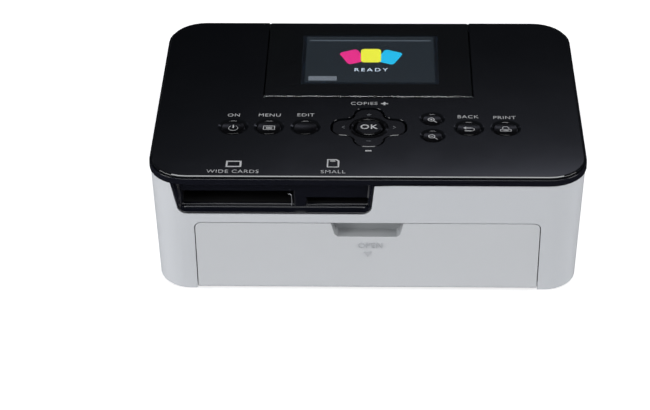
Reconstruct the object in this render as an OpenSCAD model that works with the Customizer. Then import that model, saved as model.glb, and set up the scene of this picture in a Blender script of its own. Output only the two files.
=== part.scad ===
// Compact photo printer with a tilting screen, a hinged paper door and a side ink door.
// X runs to the viewer's right, Y to the back, Z up. The origin is under the middle of the feet.

/* [Case] */
// Overall width over the black rim
body_w = 178; // [176:0.5:184]
// Overall depth over the black rim
body_d = 127; // [125:0.5:131]
// Height from the table to the top of the key panel
body_h = 60.5; // [60:0.25:62]
// Radius of the upright corners, seen from above
corner_r = 16; // [13:0.5:18]
// Wall of the white case
wall = 2.2; // [1.8:0.1:2.6]
// Height of the rubber feet below the case
foot_h = 2; // [1.5:0.1:2.4]
// Radius of one rubber foot
foot_r = 5; // [4:0.5:6]
// Lean of each side wall, from rim to foot
side_draft = 1.4; // [0.8:0.1:2]
// Lean of the front wall, from rim to foot
front_draft = 3; // [2.4:0.1:3.4]
// Thickness of the base tray
base_t = 2.2; // [1.6:0.1:2.6]
// Radius of a base screw's shank
screw_r = 1.4; // [1.1:0.1:1.6]

/* [Top] */
// Height of the black rim that shows above the case
rim_h = 3; // [2.6:0.1:3.4]
// Thickness of the glossy key panel
panel_t = 2.6; // [2.4:0.1:2.9]
// How far the key panel stands in from the rim's outside
panel_inset = 0.8; // [0.8:0.1:1.4]
// Chamfer along the key panel's upper edge
panel_chamfer = 0.5; // [0.3:0.1:0.7]
// Width of the tilting screen panel
screen_w = 88.4; // [86:0.2:90]
// Thickness of the tilting screen panel
screen_t = 6.7; // [6.2:0.1:7]
// Gap around the sides of the screen panel
screen_gap = 0.5; // [0.4:0.1:0.7]
// Width of the picture area
lcd_w = 56.5; // [50:0.5:60]
// Height of the picture area
lcd_h = 39; // [34:0.5:42]
// Thickness of the clear window
window_t = 0.7; // [0.6:0.05:0.9]
// Radius of the screen's hinge pins
tilt_pin_r = 0.7; // [0.6:0.05:0.75]

/* [Keys] */
// Radius of a round key
key_r = 5; // [4.6:0.1:5.3]
// Radius of a zoom key
zoom_key_r = 4; // [3.6:0.1:4.2]
// Radius of the middle key of the direction pad
ok_r = 5.6; // [5:0.1:5.8]
// Travel of a key
key_travel = 0.6; // [0.4:0.1:0.7]
// Span of the direction pad across its arms
pad_w = 30.5; // [29.5:0.5:33]
// Breadth of one arm of the direction pad
pad_arm = 11.7; // [11.5:0.2:13.5]
// Clearance all round a key
key_gap = 0.25; // [0.2:0.05:0.35]

/* [Doors and slots] */
// Distance from the case's side to the end of the paper door
door_margin = 18.7; // [18:0.1:21]
// Distance from the black rim down to the paper door
door_drop = 19.5; // [18:0.1:21]
// Thickness of the doors
door_t = 2.2; // [1.8:0.1:2.4]
// Gap round the doors
door_gap = 0.4; // [0.3:0.05:0.5]
// Width of the finger scoop in the paper door
scoop_w = 30; // [24:1:36]
// Depth of the finger scoop in the paper door
scoop_d = 5.4; // [4.6:0.1:5.8]
// Length of the ink door along the side
ink_door_l = 66; // [62:0.5:67]
// Height of the ink door
ink_door_h = 25; // [23:0.5:26]
// Width of the wide card slot
wide_slot_w = 45.2; // [43:0.2:46]
// Height of the wide card slot
wide_slot_h = 6.4; // [5:0.1:6.8]
// Width of the small card slot
small_slot_w = 24.5; // [24.2:0.1:25.5]
// Height of the small card slot
small_slot_h = 3.4; // [2.6:0.1:4.2]
// Width of the rear paper slot
rear_slot_w = 112; // [106:1:116]
// Height of the rear paper slot
rear_slot_h = 8; // [6:0.5:9]

/* [Mechanism] */
// Width between the two chassis plates
chassis_w = 122; // [120:0.5:124]
// Thickness of a chassis plate
plate_t = 1.2; // [1:0.1:1.5]
// Radius of the rubber platen roller
platen_r = 6; // [5:0.25:6.5]
// Radius of the steel grip roller
grip_r = 4; // [3.5:0.1:4.5]
// Radius of the pinch roller
pinch_r = 2.5; // [2.1:0.1:2.7]
// Radius of the paper pickup roller
pickup_r = 8; // [7:0.25:8.5]
// Radius of the roller shafts in their bushes
shaft_r = 2; // [1.8:0.05:2.2]
// Tooth size of the gear train
gear_module = 0.8; // [0.78:0.005:0.82]
// Face width of a gear
gear_face = 4; // [3:0.25:4.5]
// Radius of the ink cassette's two film tubes
tube_r = 8.8; // [8:0.1:9]
// Radius of the film wound on the full supply spool
film_r = 6.8; // [5.5:0.1:7]
// Width of the printed picture
paper_w = 100; // [96:1:102]
// Length of the feed motor's can
motor_l = 20; // [16:1:24]
// Side of the square cooling fan
fan_side = 25; // [22:1:26]
// Depth of the cooling fan
fan_depth = 7; // [6:0.5:8]

/* [Hidden] */

$fn = 48;
eps = 0.01;
// Clearance of a shaft in its bush, and of a pin pressed or screwed home
run_fit = 0.05;
still_fit = 0.02;
// Gap between pieces that move past each other
move_gap = 0.3;

// Levels
half_w = body_w / 2;
half_d = body_d / 2;
tray_top = foot_h + base_t;
panel_z = body_h - panel_t;
rim_top = body_h - 1.1;
rim_z = rim_top - rim_h;
ledge_w = 6.5;

// The white case stands this far in from the rim
case_inset = 0.5;
rear_draft = 1.4;
draft_rise = rim_z - foot_h;
side_angle = atan(side_draft / draft_rise);
front_angle = atan(front_draft / draft_rise);
foot_round = 1;
corner_steps = 8;
skirt_h = 1.5;

// Share of the way from rim down to foot
function drop(z) = (rim_z - z) / draft_rise;
function side_x(z) = half_w - case_inset - side_draft * drop(z);
function front_y(z) = -half_d + case_inset + front_draft * drop(z);
function rear_y(z) = half_d - case_inset - rear_draft * drop(z);

// Rounded outline with its corners turned in even steps
module rounded(x0, x1, y0, y1, r) {
    step = 90 / corner_steps;
    polygon([for (q = [0 : 3], i = [0 : corner_steps])
        let (a = q * 90 + i * step,
             cx = (q == 0 || q == 3) ? x1 - r : x0 + r,
             cy = (q == 0 || q == 1) ? y1 - r : y0 + r)
        [cx + r * cos(a), cy + r * sin(a)]]);
}

// Thin slice of the case at height z, drawn in by inset
module case_slice(z, inset) {
    translate([0, 0, z])
        linear_extrude(eps)
            rounded(-side_x(z) + inset, side_x(z) - inset, front_y(z) + inset, rear_y(z) - inset,
                max(corner_r - case_inset - 2 * drop(z) - inset, 3));
}

module case_solid() {
    hull() {
        case_slice(foot_h, foot_round);
        case_slice(foot_h + foot_round, 0);
        case_slice(rim_z - eps, 0);
    }
}

module case_hollow() {
    hull() {
        case_slice(foot_h - 1, wall);
        case_slice(rim_z + 1, wall);
    }
}

module rim_outline(inset) {
    rounded(-half_w + inset, half_w - inset, -half_d + inset, half_d - inset, corner_r - inset);
}

// Local frames on the leaning walls: the outside face is at local y = 0 or x = 0,
// and local z runs up the wall.
module on_front(z) translate([0, front_y(z), z]) rotate([front_angle, 0, 0]) children();
module on_side(y, z) translate([side_x(z), y, z]) rotate([0, side_angle, 0]) children();

// Extrusion along X of an outline drawn in Y and Z
module along_x(x0, x1) translate([x0, 0, 0]) rotate([90, 0, 90]) linear_extrude(x1 - x0) children();
// Cylinder along X
module rod(x0, x1, p, r) translate([x0, p[0], p[1]]) rotate([0, 90, 0]) cylinder(h = x1 - x0, r = r);
module block(x0, x1, y0, y1, z0, z1) translate([x0, y0, z0]) cube([x1 - x0, y1 - y0, z1 - z0]);

// Paper door: its hinge line lies behind the lower edge of the front
door_knuckle_r = 2;
door_axis_z = foot_h + door_knuckle_r + 0.6;
door_half = half_w - door_margin;
door_top = rim_z - door_drop;
door_pin_r = 1;
door_pin_l = 3.6;
door_leaf = (door_top - door_axis_z) / cos(front_angle);
door_corner_r = 2.5;
scoop_low = door_leaf - 6.7;
scoop_back = 1.2;

// Ink door on the right side: its hinge line is upright at the rear edge
ink_knuckle_r = 1.6;
ink_pin_r = 0.8;
ink_pin_l = 2;
ink_rear_y = half_d - 13.5;
ink_axis_y = ink_rear_y - ink_knuckle_r;
ink_front_y = ink_rear_y - ink_door_l;
ink_top_z = rim_z - skirt_h - 2.6;
ink_low_z = ink_top_z - ink_door_h;
ink_block = 2.1;

// Screws and feet
screw_x = half_w - 12.5;
screw_y = half_d - 17;
foot_x = half_w - 24;
foot_y = half_d - 17;
boss_r = 3.4;
screw_l = 12;

// Screen
screen_half = screen_w / 2;
screen_front = -1.2;
screen_rear = half_d - 0.7 - screen_gap - 0.1;
screen_low = body_h - screen_t;
tilt_y = screen_front + 1.3;
tilt_z = body_h - 1.8;
tilt_pin_in = 4.4;
tilt_pin_out = 4.4;
panel_gap_front = 1;
lip_l = 2.8;
lip_t = 2.3;
tray_floor = 1.2;
tray_wall = 1.4;
tray_in_z = screen_low - 0.6;
lcd_x = 0.6;
lcd_y = (screen_front + screen_rear) / 2;

// Keys, as [x, y]
power_at = [-56, -25.6];
menu_at = [-41.1, -25.6];
edit_at = [-25.9, -25.6];
zoom_in_at = [26.8, -19];
zoom_out_at = [26.8, -32];
back_at = [41.9, -26];
print_at = [57.1, -26];
ok_at = [0.4, -25.4];
round_keys = [power_at, menu_at, edit_at, back_at, print_at];
zoom_keys = [zoom_in_at, zoom_out_at];
key_low = 0.15;
key_flange = 0.9;
flange_t = 0.7;
dish_r = 1;
dish_d = 0.5;
board_t = 1.2;
mat_t = 0.6;
dome_h = 0.6;
plunger_l = 0.3;
key_flange_z = panel_z - move_gap - flange_t;
mat_z = key_flange_z - plunger_l - key_travel - 0.15 - dome_h - mat_t;
board_z = mat_z - board_t;
ring_r = 7.9;
pad_post_x = [-64, -33.4, 34.5, 65];
pad_post_y = [-38.5, -12.5];
pad_t = 2.4;
pad_low = 0.4;
pad_gap = 0.65;
nav_ring_h = 0.6;
nav_gap = 0.45;
nav_ridge_h = body_h - pad_low - pad_t - nav_gap - nav_ring_h - 0.5 - mat_z - mat_t;

// Card slots in the front left of the rim piece
slot_z = rim_z - 12.2;
bezel_z = rim_z - 14.8;
bezel_back = 5;
recess_d = 2.9;
bezel_x0 = -half_w + 9.3;
wide_slot_x = bezel_x0 + 4.6;
small_slot_x = wide_slot_x + wide_slot_w + 5.5;
bezel_x1 = small_slot_x + small_slot_w + 2.9;
socket_wall = 2.2;
// The main board lies behind the bezel, under the card sockets
pcb_z = slot_z - 2.2;
pcb_t = 1.6;
pcb_x = bezel_x0 + 1.7;
pcb_y = front_y(bezel_z) + bezel_back + move_gap;
pcb_d = 36;

// Roller and gear places, as [y, z]. The drive hangs from the level of the sheet.
paper_z = body_h - 31.5;
platen_at = [20, paper_z - platen_r];
grip_at = [33, paper_z - grip_r];
pinch_at = [33, paper_z + 0.1 + pinch_r];
pickup_at = [-22, paper_z + 2];
head_pivot = [-6, paper_z + 0.5];
pinion_teeth = 12;
pickup_teeth = 22;
front_teeth = 26;
rear_teeth = 26;
grip_teeth = 22;
ribbon_teeth = 24;
function mesh(a, b) = gear_module * (a + b) / 2;
function polar(p, r, a) = [p[0] + r * cos(a), p[1] + r * sin(a)];
function angle_of(p, q) = atan2(q[1] - p[1], q[0] - p[0]);
rear_at = polar(grip_at, mesh(grip_teeth, rear_teeth), 150);
takeup_at = polar(grip_at, mesh(grip_teeth, ribbon_teeth), 71);
pinion_at = polar(pickup_at, mesh(pinion_teeth, pickup_teeth), 168);
supply_at = [2 * platen_at[0] - takeup_at[0], takeup_at[1]];

// The point at distances rp from p and rq from q, on the right hand from p to q
function meet(p, rp, q, rq) =
    let (d = norm(q - p), a = (rp * rp - rq * rq + d * d) / (2 * d), h = sqrt(rp * rp - a * a),
        u = (q - p) / d)
    [p[0] + a * u[0] + h * u[1], p[1] + a * u[1] - h * u[0]];
front_at = meet(rear_at, mesh(rear_teeth, front_teeth), pickup_at, mesh(pickup_teeth, front_teeth));

// Turn of each gear so that its teeth meet the spaces of the one before
function turned(p, q, teeth_p, teeth_q, turn_p) =
    angle_of(p, q) + 180 + 180 / teeth_q - (turn_p - angle_of(p, q)) * teeth_p / teeth_q;
grip_turn = 0;
ribbon_turn = turned(grip_at, takeup_at, grip_teeth, ribbon_teeth, grip_turn);
rear_turn = turned(grip_at, rear_at, grip_teeth, rear_teeth, grip_turn);
front_turn = turned(rear_at, front_at, rear_teeth, front_teeth, rear_turn);
pickup_turn = turned(front_at, pickup_at, front_teeth, pickup_teeth, front_turn);
pinion_turn = turned(pickup_at, pinion_at, pickup_teeth, pinion_teeth, pickup_turn);

plate_in = chassis_w / 2;
plate_out = plate_in + plate_t;
plate_front = -half_d + 13.5;
plate_rear = takeup_at[0] + 8;
plate_step = -12;
plate_foot_l = 6;
plate_foot_y = 41;
gear_x1 = -plate_out - 0.8;
gear_x0 = gear_x1 - gear_face;
bush_r = shaft_r + 1.5;
bush_flange_r = shaft_r + 2.5;
bush_flange_t = 0.8;
stud_r = 2;
guide_t = 1.2;
guide_top = paper_z - 4.4;
guide_front = -half_d + 7.5;
bay_rear = 10;
ramp_y = platen_at[0] - platen_r - 1;
deck_y = grip_at[0] + grip_r + 1.4;
deck_end = rear_y(guide_top) - wall - move_gap;
tube_t = 1.2;
cassette_half = plate_in - 3;
cassette_out = plate_out + 4;
core_r = 3;
spool_pin_r = 2;
end_t = 2.4;
sink_half = 54;
sink_low = paper_z + 4;
sink_top = paper_z + 11.5;
sink_d = 13;
motor_r = 7.2;
motor_shaft_r = 1.05;
fan_y = 18;
fan_z = tray_top + fan_side / 2;
fan_x = -side_x(fan_z) + wall + 1.1;

module body_shell() color([0.90, 0.91, 0.93]) {
    difference() {
        union() {
            difference() {
                case_solid();
                case_hollow();
            }
            intersection() {
                case_solid();
                union() {
                    // Jamb blocks that hold the paper door's pins
                    for (s = [-1, 1])
                        translate([s * (door_half + door_gap + 2.6), front_y(door_axis_z) + 3.2,
                            door_axis_z + 1])
                            cube([5.2, 6.4, 8], center = true);
                    // Blocks that hold the ink door's pins
                    for (z = [ink_low_z - door_gap - ink_block, ink_top_z + door_gap])
                        on_side(ink_axis_y, ink_low_z)
                            translate([-3.8, -2.6, z - ink_low_z])
                                cube([3.8, 5.2, ink_block]);
                    // Screw bosses
                    for (x = [-1, 1], y = [-1, 1])
                        translate([x * screw_x, y * screw_y, tray_top + move_gap])
                            cylinder(h = 14, r = boss_r);
                    // Webs that tie the bosses to the side walls
                    for (x = [-1, 1], y = [-1, 1])
                        translate([x * (screw_x + 7.5), y * screw_y, tray_top + move_gap + 7])
                            cube([15, 1.4, 14], center = true);
                }
            }
        }
        // Paper door opening, with rounded upper corners
        on_front(door_axis_z)
            rotate([90, 0, 0])
                translate([0, 0, -9])
                    linear_extrude(12)
                        door_face(door_gap);
        // Room for the card bezel
        bezel_prism(-0.1, -70, -half_d + 12);
        // Ink door opening
        on_side(ink_axis_y, ink_low_z)
            translate([-5, -(ink_axis_y - ink_front_y) - door_gap, -door_gap])
                cube([10, ink_door_l + 2 * door_gap, ink_door_h + 2 * door_gap]);
        // Finger dish in front of the ink door
        on_side(ink_front_y - door_gap, (ink_low_z + ink_top_z) / 2)
            translate([8.6, 0, 0])
                cylinder(h = 12, r = 10, center = true);
        // Pin holes of both doors
        door_axis() rod(-door_half - door_pin_l - 0.4, door_half + door_pin_l + 0.4, [0, 0],
            door_pin_r + run_fit);
        on_side(ink_axis_y, ink_low_z)
            translate([-ink_knuckle_r, 0, -ink_pin_l - move_gap])
                cylinder(h = ink_door_h + 2 * (ink_pin_l + move_gap), r = ink_pin_r + run_fit);
        // Screw pilots
        for (x = [-1, 1], y = [-1, 1])
            translate([x * screw_x, y * screw_y, tray_top])
                cylinder(h = screw_l, r = screw_r + still_fit);
        // Rear paper slot with a bevelled mouth
        block(-rear_slot_w / 2, rear_slot_w / 2, 50, 70, paper_z - rear_slot_h / 2,
            paper_z + rear_slot_h / 2);
        along_x(-rear_slot_w / 2, rear_slot_w / 2)
            polygon([[rear_y(paper_z) + 1, paper_z - rear_slot_h / 2 - 2.2],
                [rear_y(paper_z) - 1.4, paper_z],
                [rear_y(paper_z) + 1, paper_z + rear_slot_h / 2 + 2.2]]);
        // Power and data socket windows
        power_place() block(-4.7, 4.7, -6, 6, -4.7, 4.7);
        data_place() block(-6.3, 6.3, -6, 6, -5.6, 5.6);
        // Air vents in front of the fan
        for (i = [0 : vent_count - 1])
            block(-half_w - 1, -80, fan_y - vent_l / 2, fan_y + vent_l / 2, vent_z(i), vent_z(i) + vent_h);
        // Vents in the rear wall
        for (i = [0 : rear_vents - 1])
            translate([-26 + i * 4.4, half_d - 6, rim_z - 14.4])
                block(0, 1.8, 0, 10, 0, 9);
    }
}

vent_count = 6;
vent_h = 1.8;
vent_l = fan_side - 4;
rear_vents = 13;
function vent_z(i) = fan_z - (vent_count - 1) * 1.9 + i * 3.8 - vent_h / 2;

// Outline of the paper door, drawn in X and up the front wall
module door_face(grow) {
    x = door_half + grow;
    top = door_leaf + grow;
    r = door_corner_r + grow;
    polygon(concat([[-x, -20], [x, -20]],
        [for (i = [0 : 4]) [x - r + r * cos(i * 22.5), top - r + r * sin(i * 22.5)]],
        [for (i = [0 : 4]) [-x + r - r * sin(i * 22.5), top - r + r * cos(i * 22.5)]]));
}

module door_axis() on_front(door_axis_z) translate([0, door_knuckle_r, 0]) children();

// Outline of the card bezel, its ends leaning in, drawn in X and Z
module bezel_face(inset) {
    r = 4 - inset / 2;
    lean = 2.4;
    x0 = bezel_x0 + inset;
    x1 = bezel_x1 - inset;
    z0 = bezel_z + inset;
    z1 = rim_z + 1;
    polygon(concat([[x0, z1]],
        [for (i = [0 : 6]) [x0 + lean + r - r * cos(i * 15), z0 + r - r * sin(i * 15)]],
        [for (i = [0 : 6]) [x1 - lean / 2 - r + r * sin(i * 15), z0 + r - r * cos(i * 15)]],
        [[x1, z1]]));
}

module bezel_prism(inset, y0, y1) {
    translate([0, y1, 0]) rotate([90, 0, 0]) linear_extrude(y1 - y0) bezel_face(inset);
}

module base_tray() color([0.30, 0.31, 0.33]) {
    difference() {
        intersection() {
            translate([0, 0, foot_h])
                linear_extrude(base_t)
                    rounded(-side_x(foot_h) + wall + move_gap, side_x(foot_h) - wall - move_gap,
                        front_y(door_axis_z) + wall + move_gap, rear_y(foot_h) - wall - move_gap,
                        corner_r - case_inset - 2 - wall);
            block(-half_w, half_w, front_y(door_axis_z) + 2 * door_knuckle_r + move_gap + 0.3, half_d,
                0, tray_top);
        }
        // Room for the jamb blocks
        for (s = [-1, 1])
            translate([s * (door_half + door_gap + 2.6), front_y(door_axis_z) + 3.2, door_axis_z + 1])
                cube([5.8, 7, 8.6], center = true);
        for (x = [-1, 1], y = [-1, 1]) {
            translate([x * screw_x, y * screw_y, 0])
                cylinder(h = 10, r = screw_r + 0.2);
            translate([x * screw_x, y * screw_y, foot_h - eps])
                cylinder(h = 0.9 + eps, r = 2 * screw_r + 0.2);
            translate([x * foot_x, y * foot_y, foot_h - eps])
                cylinder(h = 1 + eps, r = foot_r);
        }
        // Cooling slots under the fan side
        for (i = [0 : 4])
            block(-70 + i * 4.5, -68 + i * 4.5, 6, 30, 0, 10);
    }
    // Rails beside the cassette bay and stiffening ribs
    for (s = [-1, 1])
        block(s * (plate_in - 4) - 1, s * (plate_in - 4) + 1, plate_front + 2, bay_rear - 2,
            tray_top - eps, tray_top + 2.2);
}

module rubber_feet() color([0.12, 0.12, 0.13]) {
    for (x = [-1, 1], y = [-1, 1])
        translate([x * foot_x, y * foot_y, 0]) {
            cylinder(h = 0.6 + eps, r1 = foot_r - 0.8, r2 = foot_r - still_fit);
            translate([0, 0, 0.6])
                cylinder(h = foot_h + 1 - 0.6, r = foot_r - still_fit);
        }
}

module base_screws() color([0.62, 0.63, 0.65]) {
    for (x = [-1, 1], y = [-1, 1])
        translate([x * screw_x, y * screw_y, 0])
            difference() {
                union() {
                    translate([0, 0, foot_h + 0.1]) cylinder(h = 0.8, r = 2 * screw_r);
                    translate([0, 0, foot_h + 0.8]) cylinder(h = screw_l - 0.8, r = screw_r);
                }
                for (a = [0, 90])
                    rotate([0, 0, a])
                        translate([-1.5, -0.25, foot_h])
                            cube([3, 0.5, 0.6]);
            }
}

module top_case() color([0.10, 0.10, 0.11]) {
    pocket_x = screen_half + screen_gap + 0.1;
    difference() {
        union() {
            // Rim with the ledge that carries the key panel
            difference() {
                translate([0, 0, rim_z]) linear_extrude(rim_h) rim_outline(0);
                translate([0, 0, panel_z]) linear_extrude(rim_h) rim_outline(panel_inset - 0.1);
                translate([0, 0, rim_z - 1]) linear_extrude(rim_h + 2) rim_outline(ledge_w);
            }
            // Locating skirt inside the white case
            difference() {
                translate([0, 0, rim_z - skirt_h])
                    linear_extrude(skirt_h + 0.5)
                        rim_outline(case_inset + wall + 0.3);
                translate([0, 0, rim_z - skirt_h - 1])
                    linear_extrude(skirt_h + 3)
                        rim_outline(case_inset + wall + 2);
            }
            // Well under the screen, and the beam that carries the hinge
            block(-pocket_x - tray_wall, pocket_x + tray_wall, screen_front - 4.4,
                screen_rear - lip_l + 1.2, tray_in_z - tray_floor, panel_z);
            // Cross beam from side to side behind the keys
            block(-half_w + 4, half_w - 4, screen_front - 5.4, screen_front - 2.6, rim_z - 0.6, panel_z);
            // Card bezel
            card_bezel();
        }
        // Room for the screen
        block(-pocket_x, pocket_x, screen_front - panel_gap_front - 0.2, screen_rear - lip_l + 0.5,
            tray_in_z, body_h);
        block(-pocket_x, pocket_x, 20, screen_rear + screen_gap, panel_z, body_h);
        // Notches for the hinge bosses of the key panel
        for (s = [-1, 1])
            translate([s * (pocket_x + 2.7), tilt_y, panel_z - 1.2])
                cube([5.6, 4.6, 3], center = true);
        // Cable slot in the well's floor
        block(-9, 9, 4, 6.5, tray_in_z - 5, panel_z);
        // Finger notch behind the screen
        block(-12, 12, half_d - 3, half_d + 1, panel_z, body_h);
        card_recess();
    }
}

module card_bezel() {
    wide_x1 = wide_slot_x + wide_slot_w;
    small_x1 = small_slot_x + small_slot_w;
    face_y = front_y(bezel_z);
    difference() {
        intersection() {
            difference() {
                case_solid_tall();
                translate([0, 0, -1]) block(-half_w, half_w, face_y + bezel_back, half_d, 0, body_h + 2);
            }
            bezel_prism(0.15, -70, -half_d + 12);
        }
        block(wide_slot_x, wide_x1, -70, -50, slot_z, slot_z + wide_slot_h);
        block(small_slot_x, small_x1, -70, -50, slot_z, slot_z + small_slot_h);
        // Wider lead-ins, so that a card finds its slot
        block(wide_slot_x - 0.5, wide_x1 + 0.5, -70, face_y + bezel_back - 1, slot_z - 0.4,
            slot_z + wide_slot_h + 0.4);
        block(small_slot_x - 0.5, small_x1 + 0.5, -70, face_y + bezel_back - 1, slot_z - 0.4,
            slot_z + small_slot_h + 0.4);
    }
}

// Hollow in front of the slots, open up to the rim, its inner edges rounded
module card_recess() {
    hull()
        for (k = [[-1.4, 0.9, 0.8, 2.8], [0.9, 1.1, 0.9, 2.6], [2.1, 1.7, 1.3, 2.2],
            [recess_d, 2.5, 1.9, 1.6]])
            translate([0, front_y(bezel_z) + k[0], 0])
                rotate([90, 0, 0])
                    linear_extrude(eps)
                        recess_face(k[1], k[2], k[3]);
}

// One outline of that hollow, drawn in X and Z: its inset at the ends and below, and its corner radius
module recess_face(ends, foot, r) {
    x0 = bezel_x0 + ends;
    x1 = bezel_x1 - ends;
    z0 = bezel_z + foot;
    z1 = rim_z + 0.2;
    polygon(concat([[x0 + 0.4, z1]],
        [for (i = [0 : 6]) [x0 + 2.2 + r - r * cos(i * 15), z0 + r - r * sin(i * 15)]],
        [for (i = [0 : 6]) [x1 - 1 - r + r * sin(i * 15), z0 + r - r * cos(i * 15)]],
        [[x1, z1]]));
}

module case_solid_tall() {
    hull() {
        case_slice(foot_h + foot_round, 0.15);
        case_slice(rim_z + 0.5, 0.15);
    }
}

module top_panel() color([0.05, 0.05, 0.06]) {
    x = screen_half + screen_gap;
    difference() {
        union() {
            hull() {
                translate([0, 0, panel_z]) linear_extrude(panel_t - panel_chamfer) rim_outline(panel_inset);
                translate([0, 0, panel_z]) linear_extrude(panel_t) rim_outline(panel_inset + panel_chamfer);
            }
            // Posts that hold the key board
            for (px = pad_post_x, py = pad_post_y)
                translate([px, py, board_z + board_t])
                    cylinder(h = panel_z - board_z - board_t + eps, r = 1.6);
            // Hinge bosses of the screen
            for (s = [-1, 1])
                translate([s * (x + 2.5), tilt_y, panel_z - 1])
                    cube([4.6, 3.8, 2 + 2 * eps], center = true);
        }
        // Bay of the screen, open to the rear edge
        block(-x, x, screen_front - panel_gap_front, half_d + 1, panel_z - 3, body_h + 1);
        // Dished key holes
        for (k = round_keys) key_hole(k, key_r);
        for (k = zoom_keys) key_hole(k, zoom_key_r);
        translate([ok_at[0], ok_at[1], panel_z - 1])
            linear_extrude(panel_t + 2)
                pad_outline(pad_gap);
        // Bores of the screen's hinge pins
        rod(-x - tilt_pin_out, x + tilt_pin_out, [tilt_y, tilt_z], tilt_pin_r + run_fit);
    }
}

module key_hole(at, r) translate([at[0], at[1], 0]) {
    translate([0, 0, panel_z - 1]) cylinder(h = panel_t + 2, r = r + key_gap);
    translate([0, 0, body_h - dish_d]) cylinder(h = dish_d + eps, r1 = r + key_gap,
        r2 = r + key_gap + dish_r);
}

// Plus-shaped outline of the direction pad, with rounded ends and flowing inner corners
module pad_outline(grow) {
    offset(r = grow)
        offset(r = -5) offset(r = 5)
            for (a = [0, 90])
                rotate([0, 0, a])
                    offset(r = 4.6)
                        square([pad_w - 9.2 - (a == 90 ? 1.4 : 0), pad_arm - 9.2], center = true);
}

module screen_frame() color([0.07, 0.08, 0.10]) {
    top = body_h - window_t;
    ap_x = lcd_w / 2 + 1.5;
    ap_y = lcd_h / 2 + 1.5;
    difference() {
        union() {
            block(-screen_half, screen_half, screen_front, screen_rear - lip_l, screen_low, top);
            block(-screen_half, screen_half, screen_rear - lip_l - eps, screen_rear, body_h - lip_t, top);
        }
        // Pocket for the picture module, open to the window
        block(lcd_x - ap_x - 2, lcd_x + ap_x + 2, lcd_y - ap_y - 2, lcd_y + ap_y + 2,
            screen_low + 1.2, top - 0.8);
        block(lcd_x - ap_x, lcd_x + ap_x, lcd_y - ap_y, lcd_y + ap_y, screen_low + 1.2, body_h);
        // Cable slot in the underside
        block(-8, 8, 5, 7.5, screen_low - 1, screen_low + 3);
        // Lightening pockets at both sides of the picture module
        for (s = [-1, 1])
            block(s * (screen_half - 6) - 4, s * (screen_half - 6) + 4, lcd_y - 18.5, lcd_y + 21.5,
                screen_low + 1.2, top - 0.8);
        // Chamfered lower edges
        for (s = [-1, 1])
            translate([s * screen_half, 30, screen_low])
                rotate([0, 45, 0])
                    cube([1.4, 80, 1.4], center = true);
        // Bores of the hinge pins
        rod(-screen_half - 1, screen_half + 1, [tilt_y, tilt_z], tilt_pin_r + still_fit);
    }
}

module screen_window() color([0.05, 0.07, 0.10, 0.85]) {
    translate([0, 0, body_h - window_t])
        difference() {
            linear_extrude(window_t)
                rounded(-screen_half, screen_half, screen_front, screen_rear, 0.6);
            // Chamfer along the front edge
            translate([0, screen_front, window_t])
                rotate([45, 0, 0])
                    cube([screen_w + 2, 0.6, 0.6], center = true);
        }
}

module lcd_module() color([0.16, 0.18, 0.22]) {
    top = body_h - window_t - 0.9;
    difference() {
        block(lcd_x - lcd_w / 2 - 3.2, lcd_x + lcd_w / 2 + 3.2, lcd_y - lcd_h / 2 - 3.2,
            lcd_y + lcd_h / 2 + 3.2,
            screen_low + 1.3, top);
        // Metal frame stands proud round the glass
        block(lcd_x - lcd_w / 2, lcd_x + lcd_w / 2, lcd_y - lcd_h / 2, lcd_y + lcd_h / 2, top - 0.4,
            top + 1);
    }
}

module screen_hinge_pins() color([0.7, 0.7, 0.72]) {
    for (s = [-1, 1])
        rod(s < 0 ? -screen_half - tilt_pin_out : screen_half - tilt_pin_in,
            s < 0 ? -screen_half + tilt_pin_in : screen_half + tilt_pin_out, [tilt_y, tilt_z], tilt_pin_r);
}

// One key cap: a dished round cap on a flange, with a plunger
module key_cap(at, r) color([0.06, 0.06, 0.07]) translate([at[0], at[1], 0]) {
    top = body_h - key_low;
    difference() {
        union() {
            translate([0, 0, key_flange_z + flange_t - eps])
                cylinder(h = top - 0.3 - key_flange_z - flange_t + eps, r = r);
            translate([0, 0, top - 0.3 - eps]) cylinder(h = 0.3 + eps, r1 = r, r2 = r - 0.3);
            translate([0, 0, key_flange_z]) cylinder(h = flange_t, r = r + key_flange);
            translate([0, 0, key_flange_z - plunger_l]) cylinder(h = plunger_l + eps, r = 1.4);
        }
        // Shallow finger dish
        translate([0, 0, top + 39.6]) sphere(r = 40, $fn = 96);
    }
}
module power_key() key_cap(power_at, key_r);
module menu_key() key_cap(menu_at, key_r);
module edit_key() key_cap(edit_at, key_r);
module zoom_in_key() key_cap(zoom_in_at, zoom_key_r);
module zoom_out_key() key_cap(zoom_out_at, zoom_key_r);
module back_key() key_cap(back_at, key_r);
module print_key() key_cap(print_at, key_r);

module ok_key() color([0.06, 0.06, 0.07]) translate([ok_at[0], ok_at[1], 0]) {
    low = panel_z - 0.9;
    top = body_h + 0.1 - key_low;
    translate([0, 0, low]) cylinder(h = top - 0.4 - low, r = ok_r);
    translate([0, 0, top - 0.4 - eps]) cylinder(h = 0.4 + eps, r1 = ok_r, r2 = ok_r - 0.4);
    translate([0, 0, low - 0.4]) cylinder(h = 0.4 + eps, r = 2.4);
}

module nav_pad() color([0.06, 0.06, 0.07]) translate([ok_at[0], ok_at[1], 0]) {
    top = body_h - pad_low;
    low = top - pad_t;
    difference() {
        union() {
            translate([0, 0, low]) linear_extrude(pad_t) pad_outline(0);
            // Raised ring round the middle key
            translate([0, 0, top - eps]) cylinder(h = pad_low + eps, r1 = ring_r, r2 = ring_r - pad_low);
        }
        translate([0, 0, low - 1]) cylinder(h = pad_t + 4, r = ok_r + 2 * key_gap);
        translate([0, 0, top - 0.3]) cylinder(h = 0.7 + eps, r1 = ok_r + 2 * key_gap, r2 = ring_r - 1);
    }
}

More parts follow.
